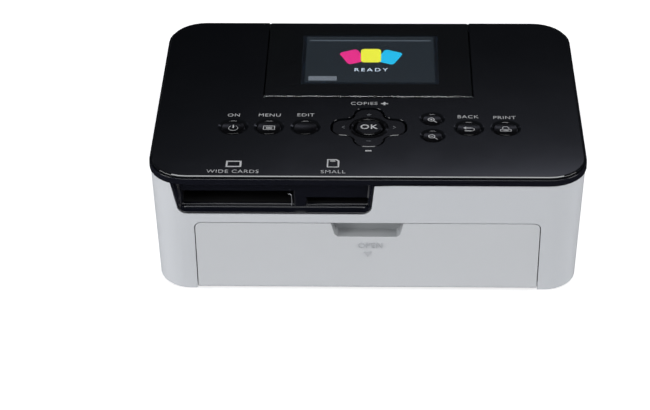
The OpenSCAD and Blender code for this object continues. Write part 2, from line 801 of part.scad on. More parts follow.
module nav_ring() color([0.2, 0.2, 0.21]) translate([ok_at[0], ok_at[1], 0]) {
    low = body_h - pad_low - pad_t - nav_gap;
    translate([0, 0, low - nav_ring_h])
        difference() {
            cylinder(h = nav_ring_h, r = ring_r + 1.5);
            translate([0, 0, -1]) cylinder(h = nav_ring_h + 2, r = ok_r + 2 * key_gap + 0.4);
        }
}

// Outline shared by the key board and the mat on it
module board_outline(inset) {
    rounded(pad_post_x[0] - 4.5 + inset, pad_post_x[3] + 4.5 - inset,
        pad_post_y[0] - 6 + inset, pad_post_y[1] + 5 - inset, 2);
}

module key_mat() color([0.55, 0.57, 0.60]) {
    difference() {
        union() {
            translate([0, 0, mat_z]) linear_extrude(mat_t) board_outline(1.5);
            for (k = concat(round_keys, zoom_keys, [ok_at]))
                translate([k[0], k[1], mat_z + mat_t - eps])
                    cylinder(h = dome_h + eps, r1 = 3.2, r2 = 2);
            // Ridge that the pad's ring rocks on
            translate([ok_at[0], ok_at[1], mat_z + mat_t - eps])
                difference() {
                    cylinder(h = nav_ridge_h + eps, r = ring_r + 0.3);
                    translate([0, 0, -1]) cylinder(h = nav_ridge_h + 2, r = ok_r + 2 * key_gap + 0.5);
                }
            // Domes under the four arms of the pad
            for (a = [0 : 90 : 270])
                translate([ok_at[0] + 12 * cos(a), ok_at[1] + 12 * sin(a), mat_z + mat_t - eps])
                    cylinder(h = dome_h - 0.3 + eps, r1 = 2.2, r2 = 1.4);
        }
        for (px = pad_post_x, py = pad_post_y)
            translate([px, py, mat_z - 1])
                cylinder(h = 4, r = 1.6 + still_fit);
    }
}

module key_board() color([0.10, 0.32, 0.18]) {
    difference() {
        translate([0, 0, board_z]) linear_extrude(board_t) board_outline(0);
        for (px = pad_post_x, py = pad_post_y)
            translate([px, py, board_z - 1])
                cylinder(h = 4, r = 0.8);
    }
}

module paper_door() color([0.88, 0.89, 0.91]) {
    difference() {
        on_front(door_axis_z) {
            difference() {
                union() {
                    intersection() {
                        rotate([90, 0, 0]) translate([0, 0, -door_t]) linear_extrude(door_t) door_face(0);
                        block(-door_half, door_half, -1, door_t + 1, 0, door_leaf);
                    }
                    // Rolled lower edge that carries the pins
                    rod(-door_half, door_half, [door_knuckle_r, 0], door_knuckle_r);
                    // Cup of the finger scoop behind the leaf
                    block(-scoop_w / 2 - 1.2, scoop_w / 2 + 1.2, door_t - eps, scoop_d + scoop_back,
                        scoop_low - 1.2, door_leaf - 1.1);
                    // Stiffening ribs and closing tabs on the inside
                    for (x = [-52, -34, 34, 52])
                        block(x - 0.7, x + 0.7, door_t - eps, door_t + 1.6, 3, door_leaf - 4);
                    for (x = [-60, 60])
                        block(x - 4, x + 4, door_t - eps, door_t + 1.4, door_leaf - 3.4, door_leaf - 1.8);
                }
                scoop_cut();
            }
        }
        // Flat under the rolled edge, level with the case's foot
        block(-half_w, half_w, -half_d, -40, -5, foot_h + 0.2);
    }
    // Hinge pins
    for (s = [-1, 1])
        door_axis()
            rod(s < 0 ? -door_half - door_pin_l : door_half - 1,
                s < 0 ? -door_half + 1 : door_half + door_pin_l,
                [0, 0], door_pin_r);
}

// Trapezoid hollow of the scoop, open to the front and to the top edge
module scoop_cut() {
    x = scoop_w / 2;
    lean = 1.9;
    nick = 1.1;
    translate([0, scoop_d, 0])
        rotate([90, 0, 0])
            linear_extrude(scoop_d + 2)
                polygon([[-x + lean + nick, scoop_low], [x - lean - nick, scoop_low],
                    [x - lean + 0.3, scoop_low + nick], [x, door_leaf + 1],
                    [-x, door_leaf + 1], [-x + lean - 0.3, scoop_low + nick]]);
}

module ink_door() color([0.88, 0.89, 0.91]) {
    front = -(ink_axis_y - ink_front_y);
    on_side(ink_axis_y, ink_low_z) {
        difference() {
            union() {
                block(-door_t, 0, front, 0, 0, ink_door_h);
                // Rolled rear edge that carries the pins
                translate([-ink_knuckle_r, 0, 0]) cylinder(h = ink_door_h, r = ink_knuckle_r);
                // Stiffening frame on the inside
                for (y = [front + 6, -8])
                    block(-door_t - 1.2, -door_t + eps, y - 0.7, y + 0.7, 2, ink_door_h - 2);
            }
            // Finger dish at the front edge
            translate([8.6, front, ink_door_h / 2])
                cylinder(h = 12, r = 10, center = true);
        }
        for (z = [-ink_pin_l, ink_door_h - 1])
            translate([-ink_knuckle_r, 0, z])
                cylinder(h = ink_pin_l + 1, r = ink_pin_r);
    }
}

module eject_lever() color([0.35, 0.36, 0.38]) {
    x0 = cassette_out + move_gap + 0.2;
    difference() {
        union() {
            rod(x0, x0 + 2, lever_at, 4);
            block(x0, x0 + 2, lever_at[0] - 2.5, lever_at[0] + 2.5, lever_at[1], lever_at[1] + lever_l);
            block(x0, x0 + 4, lever_at[0] - 2.5, lever_at[0] + 2.5, lever_at[1] + lever_l - 2,
                lever_at[1] + lever_l);
        }
        rod(x0 - 1, x0 + 5, lever_at, lever_pin_r + run_fit);
    }
}
lever_at = [platen_at[0], paper_z + 3];
lever_pin_r = 1.5;
lever_l = takeup_at[1] + 6.4 - lever_at[1];

power_z = tray_top + 5.2;
data_z = tray_top + 6;
module power_place() translate([-50, half_d - 3, power_z]) children();
module data_place() translate([50, half_d - 3, data_z]) children();

module power_socket() color([0.08, 0.08, 0.09]) power_place() {
    y1 = rear_y(power_z) - half_d + 2.6;
    difference() {
        block(-4.5, 4.5, -9, y1, -4.5, 4.5);
        translate([0, -6, 0]) rotate([-90, 0, 0]) cylinder(h = 14, r = 3.1);
        translate([0, y1 - 0.8, 0]) rotate([-90, 0, 0]) cylinder(h = 1, r1 = 3.1, r2 = 3.9);
    }
    translate([0, -7, 0]) rotate([-90, 0, 0]) cylinder(h = 7.5, r = 0.9);
    // Foot that stands on the base tray
    block(-3.5, 3.5, -9, -5, tray_top - power_z, -4.5 + eps);
}

module data_socket() color([0.75, 0.76, 0.78]) data_place() {
    y1 = rear_y(data_z) - half_d + 2.6;
    difference() {
        block(-6, 6, -13, y1, -5.3, 5.3);
        // Square hollow with two bevelled upper corners
        translate([0, y1 + 1, 0])
            rotate([90, 0, 0])
                linear_extrude(13)
                    polygon([[-4.2, -3.9], [4.2, -3.9], [4.2, 2.2], [2.6, 3.9], [-2.6, 3.9], [-4.2, 2.2]]);
    }
    // Contact tongue
    block(-2.8, 2.8, -13, -1.6, -1.4, 1.4);
    // Foot that stands on the base tray
    block(-5, 5, -13, -9, tray_top - data_z, -5.3 + eps);
}

module main_board() color([0.10, 0.34, 0.18]) {
    difference() {
        block(pcb_x, plate_out + 1, pcb_y, pcb_y + pcb_d, pcb_z, pcb_z + pcb_t);
        for (x = [pcb_x + 4, 20, 58], y = [pcb_y + 4, pcb_y + pcb_d - 4])
            translate([x, y, pcb_z - 1])
                cylinder(h = 4, r = 1.4);
    }
    // Chips and capacitors on the right half
    translate([0, pcb_y, pcb_z + pcb_t - eps]) {
        block(14, 28, 11, 25, 0, 1.6);
        block(34, 43, 7, 13, 0, 1.2);
        block(34, 43, 19, 25, 0, 1.2);
        for (i = [0 : 2])
            translate([51, 9 + i * 9, 0])
                cylinder(h = 7, r = 3);
    }
}

module wide_card_socket() color([0.72, 0.73, 0.75]) {
    x1 = wide_slot_x + wide_slot_w;
    y0 = pcb_y;
    difference() {
        block(wide_slot_x - socket_wall, x1 + socket_wall, y0, y0 + 35, pcb_z + pcb_t,
            slot_z + wide_slot_h + 1.2);
        block(wide_slot_x, x1, y0 - 1, y0 + 29, slot_z, slot_z + wide_slot_h);
    }
    // Contact header at the back of the hollow
    block(wide_slot_x + 4, x1 - 4, y0 + 25, y0 + 29.1, slot_z + 2.4, slot_z + 4);
}

module small_card_socket() color([0.72, 0.73, 0.75]) {
    x1 = small_slot_x + small_slot_w;
    y0 = pcb_y;
    difference() {
        block(small_slot_x - socket_wall, x1 + socket_wall, y0, y0 + 27, pcb_z + pcb_t,
            slot_z + small_slot_h + 1);
        block(small_slot_x, x1, y0 - 1, y0 + 24, slot_z, slot_z + small_slot_h);
    }
}

// Outline of a side plate, drawn in Y and Z
module plate_outline(rear_top) {
    polygon([[plate_front, tray_top], [plate_rear, tray_top], [plate_rear, rear_top - 5],
        [plate_rear - 5, rear_top], [plate_step, rear_top], [plate_step, pcb_z], [plate_front, pcb_z]]);
}

module chassis_plate(rear_top) {
    difference() {
        plate_outline(rear_top);
        for (p = [pickup_at, platen_at, grip_at])
            translate(p) circle(r = bush_r + still_fit);
        translate(head_pivot) circle(r = head_pin_r + still_fit);
        translate(pinch_at) circle(r = pinch_journal + run_fit);
        // Lightening hole
        translate([-38, 16]) circle(r = 6);
    }
}
head_pin_r = 1.5;
pinch_journal = 1.5;

module chassis_left() color([0.68, 0.70, 0.72]) {
    along_x(-plate_out, -plate_in)
        difference() {
            chassis_plate(takeup_at[1] + 10);
            translate(takeup_at) circle(r = spool_pin_r + 0.6 + run_fit);
            for (p = [rear_at, front_at]) translate(p) circle(r = stud_r + still_fit);
            translate(pinion_at) circle(r = 3);
            translate(supply_at) circle(r = 3);
            for (p = peg_at) translate(p) circle(r = peg_r + 0.1);
        }
    plate_foot(-plate_out - plate_foot_l, -plate_in);
}

module chassis_right() color([0.68, 0.70, 0.72]) {
    low = takeup_at[1] - tube_r - move_gap;
    along_x(plate_in, plate_out)
        difference() {
            chassis_plate(low);
            // Dip under the film path
            translate([platen_at[0] - 9, paper_z + 5.5]) square([18, 10]);
            translate(lever_at) circle(r = lever_pin_r + still_fit);
        }
    plate_foot(plate_in, plate_out + plate_foot_l);
}

// Bent foot of a side plate, with screw slots
module plate_foot(x0, x1) {
    difference() {
        block(x0, x1, -plate_foot_y, plate_foot_y, tray_top, tray_top + plate_t);
        for (y = [-1, 1])
            translate([(x0 + x1) / 2, y * (plate_foot_y - 6), tray_top - 1])
                cylinder(h = 4, r = 1.6);
    }
}
peg_r = 1.4;
peg_at = [[supply_at[0] - 5.4, takeup_at[1] + 4.2], [takeup_at[0] + 5.4, takeup_at[1] + 4.2]];

module paper_guide() color([0.25, 0.26, 0.28]) {
    difference() {
        along_x(-plate_in, plate_in) union() {
            // Ceiling of the bay, its end wall and the ramp up to the platen
            polygon([[guide_front, guide_top - guide_t], [bay_rear, guide_top - guide_t],
                [bay_rear, tray_top],
                [bay_rear + 1.4, tray_top], [bay_rear + 1.4, paper_z - 11], [ramp_y, paper_z - 3],
                [ramp_y, paper_z - 1], [ramp_y - 3, paper_z - 1], [-8, guide_top],
                    [guide_front, guide_top]]);
            // Rear deck towards the paper slot
            polygon([[deck_y, tray_top], [deck_y + 1.4, tray_top], [deck_y + 1.4, paper_z - 7.5],
                [deck_end, paper_z - 6.4], [deck_end, paper_z - 5.2], [deck_y + 3.6, paper_z - 5.2],
                [deck_y + 1.6, paper_z - 1], [deck_y, paper_z - 1]]);
        }
        // Window for the pickup roller
        block(-20, 20, pickup_at[0] - 11, pickup_at[0] + 11, 10, 50);
        // Cassette stays below the deck, and its end wall has two guide slots
        for (x = [-40, 40])
            block(x - 5, x + 5, bay_rear - 1, bay_rear + 3, 10, 16);
    }
    // Side ribs that join the two decks below the shafts
    for (s = [-1, 1])
        block(s * (plate_in - 1) - 1, s * (plate_in - 1) + 1, bay_rear + 1, deck_y + 0.6, tray_top,
            platen_at[1] - bush_flange_r - 2.5);
}

module shaft_bushes() color([0.72, 0.55, 0.30]) {
    for (p = [pickup_at, platen_at, grip_at], s = [-1, 1])
        difference() {
            union() {
                rod(s < 0 ? -plate_out : plate_in, s < 0 ? -plate_in : plate_out, p, bush_r);
                rod(s < 0 ? -plate_in : plate_in - bush_flange_t,
                    s < 0 ? -plate_in + bush_flange_t : plate_in,
                    p, bush_flange_r);
            }
            rod(-plate_out - 1, plate_out + 1, p, shaft_r + run_fit);
        }
}

module pickup_shaft() color([0.75, 0.76, 0.78]) rod(gear_x0, plate_out + 0.6, pickup_at, shaft_r);

module pickup_roller() color([0.22, 0.22, 0.23]) {
    difference() {
        union() {
            rod(-16, 16, pickup_at, pickup_r);
            for (s = [-1, 1]) rod(s * 18 - 2, s * 18 + 2, pickup_at, 4);
        }
        rod(-21, 21, pickup_at, shaft_r + still_fit);
        // Flat that lets the sheet go
        block(-17, 17, pickup_at[0] - 10, pickup_at[0] + 10, pickup_at[1] - 10, pickup_at[1] - 5);
    }
}

// Spur gear in Y and Z: four points a tooth, its flanks leaning 20 degrees
module gear(at, teeth, turn, x0, x1, bore) {
    m = gear_module;
    pitch_r = m * teeth / 2;
    tip = pitch_r + 0.85 * m;
    root = pitch_r - 1.15 * m;
    half = 90 / teeth * 0.84;
    at_tip = half - atan(tan(20) * (tip - pitch_r) / tip);
    at_root = half + atan(tan(20) * (pitch_r - root) / root);
    translate([0, at[0], at[1]])
        difference() {
            along_x(x0, x1)
                polygon([for (i = [0 : teeth - 1], k = [[root, -at_root], [tip, -at_tip], [tip, at_tip],
                    [root, at_root]])
                    let (a = turn + i * 360 / teeth + k[1]) [k[0] * cos(a), k[0] * sin(a)]]);
            if (bore > 0) rod(x0 - 1, x1 + 1, [0, 0], bore);
            // Recessed web on the outer face
            if (teeth > 14)
                difference() {
                    rod(x0 - 1, x0 + (x1 - x0) / 3, [0, 0], root - 1.2);
                    rod(x0 - 2, x1, [0, 0], bore + 1.6);
                }
        }
}

module pickup_gear() color([0.90, 0.89, 0.84]) gear(pickup_at, pickup_teeth, pickup_turn, gear_x0,
    gear_x1, shaft_r + still_fit);
module grip_gear() color([0.90, 0.89, 0.84]) gear(grip_at, grip_teeth, grip_turn, gear_x0, gear_x1,
    shaft_r + still_fit);
module front_idler() color([0.90, 0.89, 0.84]) gear(front_at, front_teeth, front_turn, gear_x0, gear_x1,
    stud_r + run_fit);
module rear_idler() color([0.90, 0.89, 0.84]) gear(rear_at, rear_teeth, rear_turn, gear_x0, gear_x1,
    stud_r + run_fit);
module ribbon_gear() color([0.90, 0.89, 0.84]) {
    gear(takeup_at, ribbon_teeth, ribbon_turn, gear_x0, gear_x1, 0);
    // Drive spindle through the plate, with a flat-sided nose
    rod(gear_x1 - 1, -plate_in + 1, takeup_at, spool_pin_r + 0.6);
    along_x(-plate_in + 1 - eps, -cassette_half - 0.6)
        translate(takeup_at)
            square([2.6, 2.6], center = true);
}
module motor_pinion() color([0.80, 0.66, 0.35]) {
    gear(pinion_at, pinion_teeth, pinion_turn, gear_x0, gear_x1, 0);
    rod(gear_x1 - 1, -plate_in + 6, pinion_at, motor_shaft_r);
}

module idler_studs() color([0.75, 0.76, 0.78]) {
    for (p = [rear_at, front_at]) {
        rod(gear_x0, -plate_in + 0.3, p, stud_r);
        // Retaining head
        rod(gear_x0 - 0.9, gear_x0 - 0.1, p, stud_r + 1);
        rod(gear_x0 - 0.2, gear_x0 + 0.1, p, stud_r);
    }
}

module feed_motor() color([0.70, 0.71, 0.73]) {
    difference() {
        union() {
            rod(-plate_in, -plate_in + motor_l, pinion_at, motor_r);
            rod(-plate_in + motor_l - eps, -plate_in + motor_l + 1.6, pinion_at, 3.2);
        }
        rod(-plate_in - 1, -plate_in + 8, pinion_at, motor_shaft_r + run_fit);
    }
}

module platen_shaft() color([0.75, 0.76, 0.78]) rod(-plate_out - 0.2, plate_out + 0.6, platen_at, shaft_r);

module platen_roller() color([0.16, 0.16, 0.17]) {
    difference() {
        rod(-paper_w / 2 - 3, paper_w / 2 + 3, platen_at, platen_r);
        rod(-paper_w, paper_w, platen_at, shaft_r + still_fit);
    }
}

module grip_roller() color([0.78, 0.79, 0.81]) {
    rod(gear_x0, plate_out + 0.6, grip_at, shaft_r);
    // Gripping bands with a relieved middle
    for (s = [-1, 1])
        rod(s * (paper_w / 2 - 14) - 12, s * (paper_w / 2 - 14) + 12, grip_at, grip_r);
    rod(-paper_w / 2, paper_w / 2, grip_at, grip_r - 0.6);
}

module pinch_roller() color([0.35, 0.36, 0.38]) {
    rod(-plate_out - 0.3, plate_out + 0.3, pinch_at, pinch_journal);
    for (s = [-1, 1])
        rod(s * (paper_w / 2 - 14) - 12, s * (paper_w / 2 - 14) + 12, pinch_at, pinch_r);
}

module thermal_head() color([0.86, 0.85, 0.80]) {
    y = platen_at[0];
    // Ceramic bar with the heater line as a low ridge
    along_x(-sink_half, sink_half)
        polygon([[y - 3.4, paper_z + 1.6], [y - 1.6, paper_z + 0.95], [y + 1.6, paper_z + 0.95],
            [y + 3.4, paper_z + 1.6], [y + 3.4, sink_low], [y - 3.4, sink_low]]);
}

module heat_sink() color([0.76, 0.77, 0.79]) {
    y0 = platen_at[0] - sink_d / 2;
    fins = 5;
    fin_t = 1.2;
    pitch = (sink_d - fin_t) / (fins - 1);
    block(-sink_half, sink_half, y0, y0 + sink_d, sink_low, sink_low + 2.4);
    for (i = [0 : fins - 1])
        block(-sink_half, sink_half, y0 + i * pitch, y0 + i * pitch + fin_t, sink_low + 2.4 - eps,
            sink_top);
}

module head_arm() color([0.62, 0.64, 0.66]) {
    x_in = plate_in - 2.1;
    x_out = plate_in - 0.9;
    y0 = platen_at[0] - sink_d / 2;
    // Top channel over the heat sink
    block(-x_out, x_out, y0, y0 + sink_d, sink_top, sink_top + 1);
    // Side arms that reach forward to the pivots
    for (s = [-1, 1])
        along_x(s < 0 ? -x_out : x_in, s < 0 ? -x_in : x_out)
            difference() {
                union() {
                    polygon([[head_pivot[0] - 3, head_pivot[1] - 2.4], [y0 + 1, head_pivot[1] - 0.5],
                        [y0 + sink_d, paper_z + 3], [y0 + sink_d, sink_top + 1], [y0, sink_top + 1],
                        [y0, paper_z + 4], [head_pivot[0], head_pivot[1] + 3],
                            [head_pivot[0] - 3, head_pivot[1] + 2.4]]);
                    translate(head_pivot) circle(r = 3);
                }
                translate(head_pivot) circle(r = head_pin_r + run_fit);
            }
}

module head_pins() color([0.75, 0.76, 0.78]) {
    for (s = [-1, 1])
        rod(s < 0 ? -plate_out - 0.4 : plate_in - 2.8, s < 0 ? -plate_in + 2.8 : plate_out + 0.4,
            head_pivot, head_pin_r);
    // Pin of the eject lever
    rod(plate_in - 0.4, cassette_out + 3.2, lever_at, lever_pin_r);
}

module ink_cassette() color([0.55, 0.57, 0.60, 0.9]) {
    difference() {
        union() {
            for (p = [supply_at, takeup_at])
                difference() {
                    rod(-cassette_half, cassette_out, p, tube_r);
                    rod(-cassette_half + end_t, cassette_out - end_t, p, tube_r - tube_t);
                }
            // Bridges above the head, at both ends
            for (x = [[-cassette_half, -cassette_half + 6], [cassette_out - 12, cassette_out]])
                block(x[0], x[1], supply_at[0], takeup_at[0], takeup_at[1] + 4.6, takeup_at[1] + 7.4);
        }
        // Film slots facing the head
        block(-paper_w / 2 - 2, paper_w / 2 + 2, supply_at[0], supply_at[0] + 12, takeup_at[1] - 8.4,
            takeup_at[1] - 1.4);
        block(-paper_w / 2 - 2, paper_w / 2 + 2, takeup_at[0] - 12, takeup_at[0], takeup_at[1] - 8.4,
            takeup_at[1] - 1.4);
        // Bridges don't enter the film tubes
        for (p = [supply_at, takeup_at]) {
            rod(-cassette_half + end_t, cassette_out - end_t, p, tube_r - tube_t);
            rod(-cassette_half - 1, cassette_out + 1, p, spool_pin_r + run_fit);
        }
    }
    // Pegs that locate in the left plate
    for (p = peg_at) rod(-plate_out, -cassette_half + 1, p, peg_r);
    // Pull tab at the open end
    block(cassette_out - eps, cassette_out + 5, platen_at[0] + 5, takeup_at[0] - 2, takeup_at[1] + 5,
        takeup_at[1] + 7);
}

module spool(at, film) {
    difference() {
        union() {
            rod(-cassette_half + 0.2, cassette_out - 0.2, at, spool_pin_r);
            rod(-cassette_half + end_t + 0.4, cassette_out - end_t - 0.4, at, core_r);
            rod(-paper_w / 2 - 1, paper_w / 2 + 1, at, film);
        }
        // Square socket for the drive spindle
        along_x(-cassette_half - 1, -cassette_half + 5)
            translate(at)
                square([1.2, 1.2], center = true);
    }
}
module supply_spool() color([0.80, 0.55, 0.20]) spool(supply_at, film_r);
module takeup_spool() color([0.30, 0.30, 0.32]) spool(takeup_at, core_r + 0.8);

module ink_ribbon() color([0.75, 0.20, 0.45]) {
    y = platen_at[0];
    z = paper_z + 0.35;
    t = 0.25;
    s = supply_at[0];
    run = [[s + 7, takeup_at[1] - 5], [y - 5.6, z + 0.6], [y - 4.2, z], [y + 4.2, z], [y + 5.6, z + 0.6],
        [2 * y - s - 7, takeup_at[1] - 5]];
    along_x(-paper_w / 2, paper_w / 2)
        polygon(concat(run, [for (i = [len(run) - 1 : -1 : 0]) [run[i][0], run[i][1] + t]]));
}

module fan_housing() color([0.10, 0.10, 0.11]) {
    half = fan_side / 2;
    web_t = 1.5;
    web_x = fan_x + fan_depth - web_t - 0.1;
    translate([0, fan_y, fan_z])
        difference() {
            union() {
                difference() {
                    block(fan_x, fan_x + fan_depth, -half, half, -half, half);
                    rod(fan_x - 1, fan_x + fan_depth + 1, [0, 0], half - 1.4);
                    for (y = [-1, 1], z = [-1, 1])
                        rod(fan_x - 1, fan_x + fan_depth + 1, [y * (half - 2.2), z * (half - 2.2)], 0.9);
                }
                // Hub on three spokes
                rod(web_x, web_x + web_t, [0, 0], 4.5);
                for (a = [30 : 120 : 270])
                    rotate([a, 0, 0])
                        block(web_x, web_x + web_t, -0.9, 0.9, 2.5, half - 1);
            }
            rod(fan_x, web_x + 1, [0, 0], fan_pin_r + run_fit);
        }
}
fan_pin_r = 1;

module fan_rotor() color([0.14, 0.14, 0.15]) {
    half = fan_side / 2;
    hub = 4.6;
    translate([0, fan_y, fan_z]) {
        rod(fan_x + 0.8, fan_x + fan_depth - 2, [0, 0], hub);
        rod(fan_x + 1, fan_x + fan_depth - 0.9, [0, 0], fan_pin_r);
        for (i = [0 : 6])
            rotate([i * 360 / 7, 0, 0])
                translate([fan_x + (fan_depth - 1.6) / 2 + 0.2, 0, hub - 0.6])
                    rotate([0, 0, 38])
                        translate([-2.3, -0.4, 0])
                            cube([4.6, 0.8, half - 1.9 - hub + 0.6]);
    }
}

body_shell();
base_tray();
rubber_feet();
base_screws();
top_case();
top_panel();
screen_frame();
screen_window();
lcd_module();
screen_hinge_pins();
power_key();
menu_key();
edit_key();
zoom_in_key();
zoom_out_key();
back_key();
print_key();
ok_key();
nav_pad();
nav_ring();
key_mat();
key_board();
paper_door();
ink_door();
eject_lever();
power_socket();
data_socket();
main_board();
wide_card_socket();
small_card_socket();
chassis_left();
chassis_right();
paper_guide();
shaft_bushes();
pickup_shaft();
pickup_roller();
pickup_gear();
platen_shaft();
platen_roller();
grip_roller();
grip_gear();
pinch_roller();
front_idler();
rear_idler();
idler_studs();
feed_motor();
motor_pinion();
thermal_head();
heat_sink();
head_arm();
head_pins();
ink_cassette();
supply_spool();
takeup_spool();
ink_ribbon();
ribbon_gear();
fan_housing();
fan_rotor();
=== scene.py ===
from math import cos, pi, radians, sin, sqrt, tan

import bmesh
import bpy
from mathutils import Matrix, Vector


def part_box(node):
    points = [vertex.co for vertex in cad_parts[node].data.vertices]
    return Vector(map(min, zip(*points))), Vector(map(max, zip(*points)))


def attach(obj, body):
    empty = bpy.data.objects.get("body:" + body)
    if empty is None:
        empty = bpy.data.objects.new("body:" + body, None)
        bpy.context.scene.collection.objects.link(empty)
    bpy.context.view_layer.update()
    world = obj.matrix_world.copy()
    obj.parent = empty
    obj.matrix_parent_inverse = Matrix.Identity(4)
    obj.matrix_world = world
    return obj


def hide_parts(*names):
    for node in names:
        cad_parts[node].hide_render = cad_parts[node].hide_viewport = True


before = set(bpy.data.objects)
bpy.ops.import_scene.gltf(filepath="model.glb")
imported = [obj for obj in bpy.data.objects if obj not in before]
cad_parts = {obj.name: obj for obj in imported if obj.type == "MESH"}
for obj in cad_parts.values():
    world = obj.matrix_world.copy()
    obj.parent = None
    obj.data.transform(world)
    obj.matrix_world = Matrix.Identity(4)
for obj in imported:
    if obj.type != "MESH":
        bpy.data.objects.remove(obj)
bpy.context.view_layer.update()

# The camera stands in front of the printer, a little left of its middle, and looks down on the
# key panel as in the photograph. Its place, turn and lens come from a fit to the printer's edges,
# whose zero height is the lower edge of the case, above the rubber feet.
MM = 0.001


def linked(name, data):
    """A new object at the origin, linked into the scene."""
    thing = bpy.data.objects.new(name, data)
    bpy.context.scene.collection.objects.link(thing)
    return thing


SENSOR_W = 36.0
PHOTO_W = 650
FOCAL_PX = 2061.475
cam_pitch = radians(34.3321)
cam_yaw = radians(1.7514)
cam_roll = radians(0.7199)
cam_shift = Vector((18.988, -1.8, 909.665)) * MM
foot_gap = 2.0 * MM

turn = Matrix.Rotation(cam_yaw, 3, "Z")
right = turn @ Vector((1, 0, 0))
up = turn @ Vector((0, sin(cam_pitch), cos(cam_pitch)))
ahead = turn @ Vector((0, cos(cam_pitch), -sin(cam_pitch)))
cam_at = -(right * cam_shift.x + up * cam_shift.y + ahead * cam_shift.z)
cam_at.z += foot_gap
cam_x = cos(cam_roll) * right - sin(cam_roll) * up
cam_y = sin(cam_roll) * right + cos(cam_roll) * up
cam_data = bpy.data.cameras.new("photo_camera")
cam_data.sensor_width = SENSOR_W
cam_data.lens = FOCAL_PX / PHOTO_W * SENSOR_W
cam_data.clip_start = 0.01
cam_data.clip_end = 30
camera = linked("photo_camera", cam_data)
cam_turn = Matrix((cam_x, cam_y, -ahead)).transposed().to_4x4()
camera.matrix_world = Matrix.Translation(cam_at) @ cam_turn
bpy.context.scene.camera = camera

# The white case is one injection moulding of satin plastic with a fine spark-eroded grain.
# Its walls lean in towards the foot, and every outside edge has the small radius of the tool.


def node_in(tree, kind, **values):
    node = tree.nodes.new(kind)
    for name, value in values.items():
        setattr(node, name, value)
    return node


def shader_group(name, inputs, outputs):
    """An empty node group with its sockets, and its two end nodes."""
    tree = bpy.data.node_groups.new(name, "ShaderNodeTree")
    for label, kind, value in inputs:
        socket = tree.interface.new_socket(label, in_out="INPUT", socket_type=kind)
        socket.default_value = value
    for label, kind in outputs:
        tree.interface.new_socket(label, in_out="OUTPUT", socket_type=kind)
    return tree, tree.nodes.new("NodeGroupInput"), tree.nodes.new("NodeGroupOutput")


SKIN_OUTPUTS = [("Color", "NodeSocketColor"), ("Roughness", "NodeSocketFloat"),
                ("Height", "NodeSocketFloat")]


def moulded_grain_group():
    """Fine grain of a moulded skin, with a slow drift of tone and of sheen over the piece."""
    tree, start, end = shader_group("moulded_grain", [
        ("Color", "NodeSocketColor", (0.8, 0.8, 0.8, 1)),
        ("Roughness", "NodeSocketFloat", 0.45),
        ("Grain per metre", "NodeSocketFloat", 1800.0),
        ("Tone drift", "NodeSocketFloat", 0.03),
        ("Sheen drift", "NodeSocketFloat", 0.08),
    ], SKIN_OUTPUTS)
    link = tree.links.new
    place = node_in(tree, "ShaderNodeTexCoord")
    grain = node_in(tree, "ShaderNodeTexNoise")
    grain.inputs["Detail"].default_value = 3
    grain.inputs["Roughness"].default_value = 0.6
    link(place.outputs["Object"], grain.inputs["Vector"])
    link(start.outputs["Grain per metre"], grain.inputs["Scale"])
    link(grain.outputs["Fac"], end.inputs["Height"])
    slow = node_in(tree, "ShaderNodeTexNoise")
    slow.inputs["Scale"].default_value = 22
    slow.inputs["Detail"].default_value = 2
    link(place.outputs["Object"], slow.inputs["Vector"])
    centred = node_in(tree, "ShaderNodeMath", operation="SUBTRACT")
    centred.inputs[1].default_value = 0.5
    link(slow.outputs["Fac"], centred.inputs[0])
    tone = node_in(tree, "ShaderNodeMath", operation="MULTIPLY_ADD")
    tone.inputs[2].default_value = 1.0
    link(centred.outputs[0], tone.inputs[0])
    link(start.outputs["Tone drift"], tone.inputs[1])
    tinted = node_in(tree, "ShaderNodeVectorMath", operation="SCALE")
    link(start.outputs["Color"], tinted.inputs[0])
    link(tone.outputs[0], tinted.inputs["Scale"])
    link(tinted.outputs[0], end.inputs["Color"])
    sheen = node_in(tree, "ShaderNodeMath", operation="MULTIPLY_ADD")
    link(centred.outputs[0], sheen.inputs[0])
    link(start.outputs["Sheen drift"], sheen.inputs[1])
    link(start.outputs["Roughness"], sheen.inputs[2])
    fine = node_in(tree, "ShaderNodeMath", operation="MULTIPLY_ADD")
    fine.inputs[1].default_value = 0.04
    link(grain.outputs["Fac"], fine.inputs[0])
    link(sheen.outputs[0], fine.inputs[2])
    link(fine.outputs[0], end.inputs["Roughness"])
    return tree


MOULDED_GRAIN = moulded_grain_group()


def finish(name, group, settings, depth=0.0, **shader):
    """A Principled material fed by one shader group, with its constants on the shader itself.

    The depth of the relief is in millimetres.
    """
    material = bpy.data.materials.new(name)
    material.use_nodes = True
    tree = material.node_tree
    principled = tree.nodes["Principled BSDF"]
    for label, value in shader.items():
        principled.inputs[label.replace("_", " ")].default_value = value
    skin = tree.nodes.new("ShaderNodeGroup")
    skin.node_tree = group
    for label, value in settings.items():
        skin.inputs[label].default_value = value
    tree.links.new(skin.outputs["Color"], principled.inputs["Base Color"])
    tree.links.new(skin.outputs["Roughness"], principled.inputs["Roughness"])
    if depth:
        bump = tree.nodes.new("ShaderNodeBump")
        bump.inputs["Strength"].default_value = 0.5
        bump.inputs["Distance"].default_value = depth * MM
        tree.links.new(skin.outputs["Height"], bump.inputs["Height"])
        tree.links.new(bump.outputs["Normal"], principled.inputs["Normal"])
    return material


def moulded(name, color, roughness, grain=1800.0, depth=0.01, tone=0.03, sheen=0.08, **shader):
    """Plastic or rubber as it comes from the mould."""
    settings = {"Color": (*color, 1), "Roughness": roughness, "Grain per metre": grain,
                "Tone drift": tone, "Sheen drift": sheen}
    return finish(name, MOULDED_GRAIN, settings, depth, **shader)


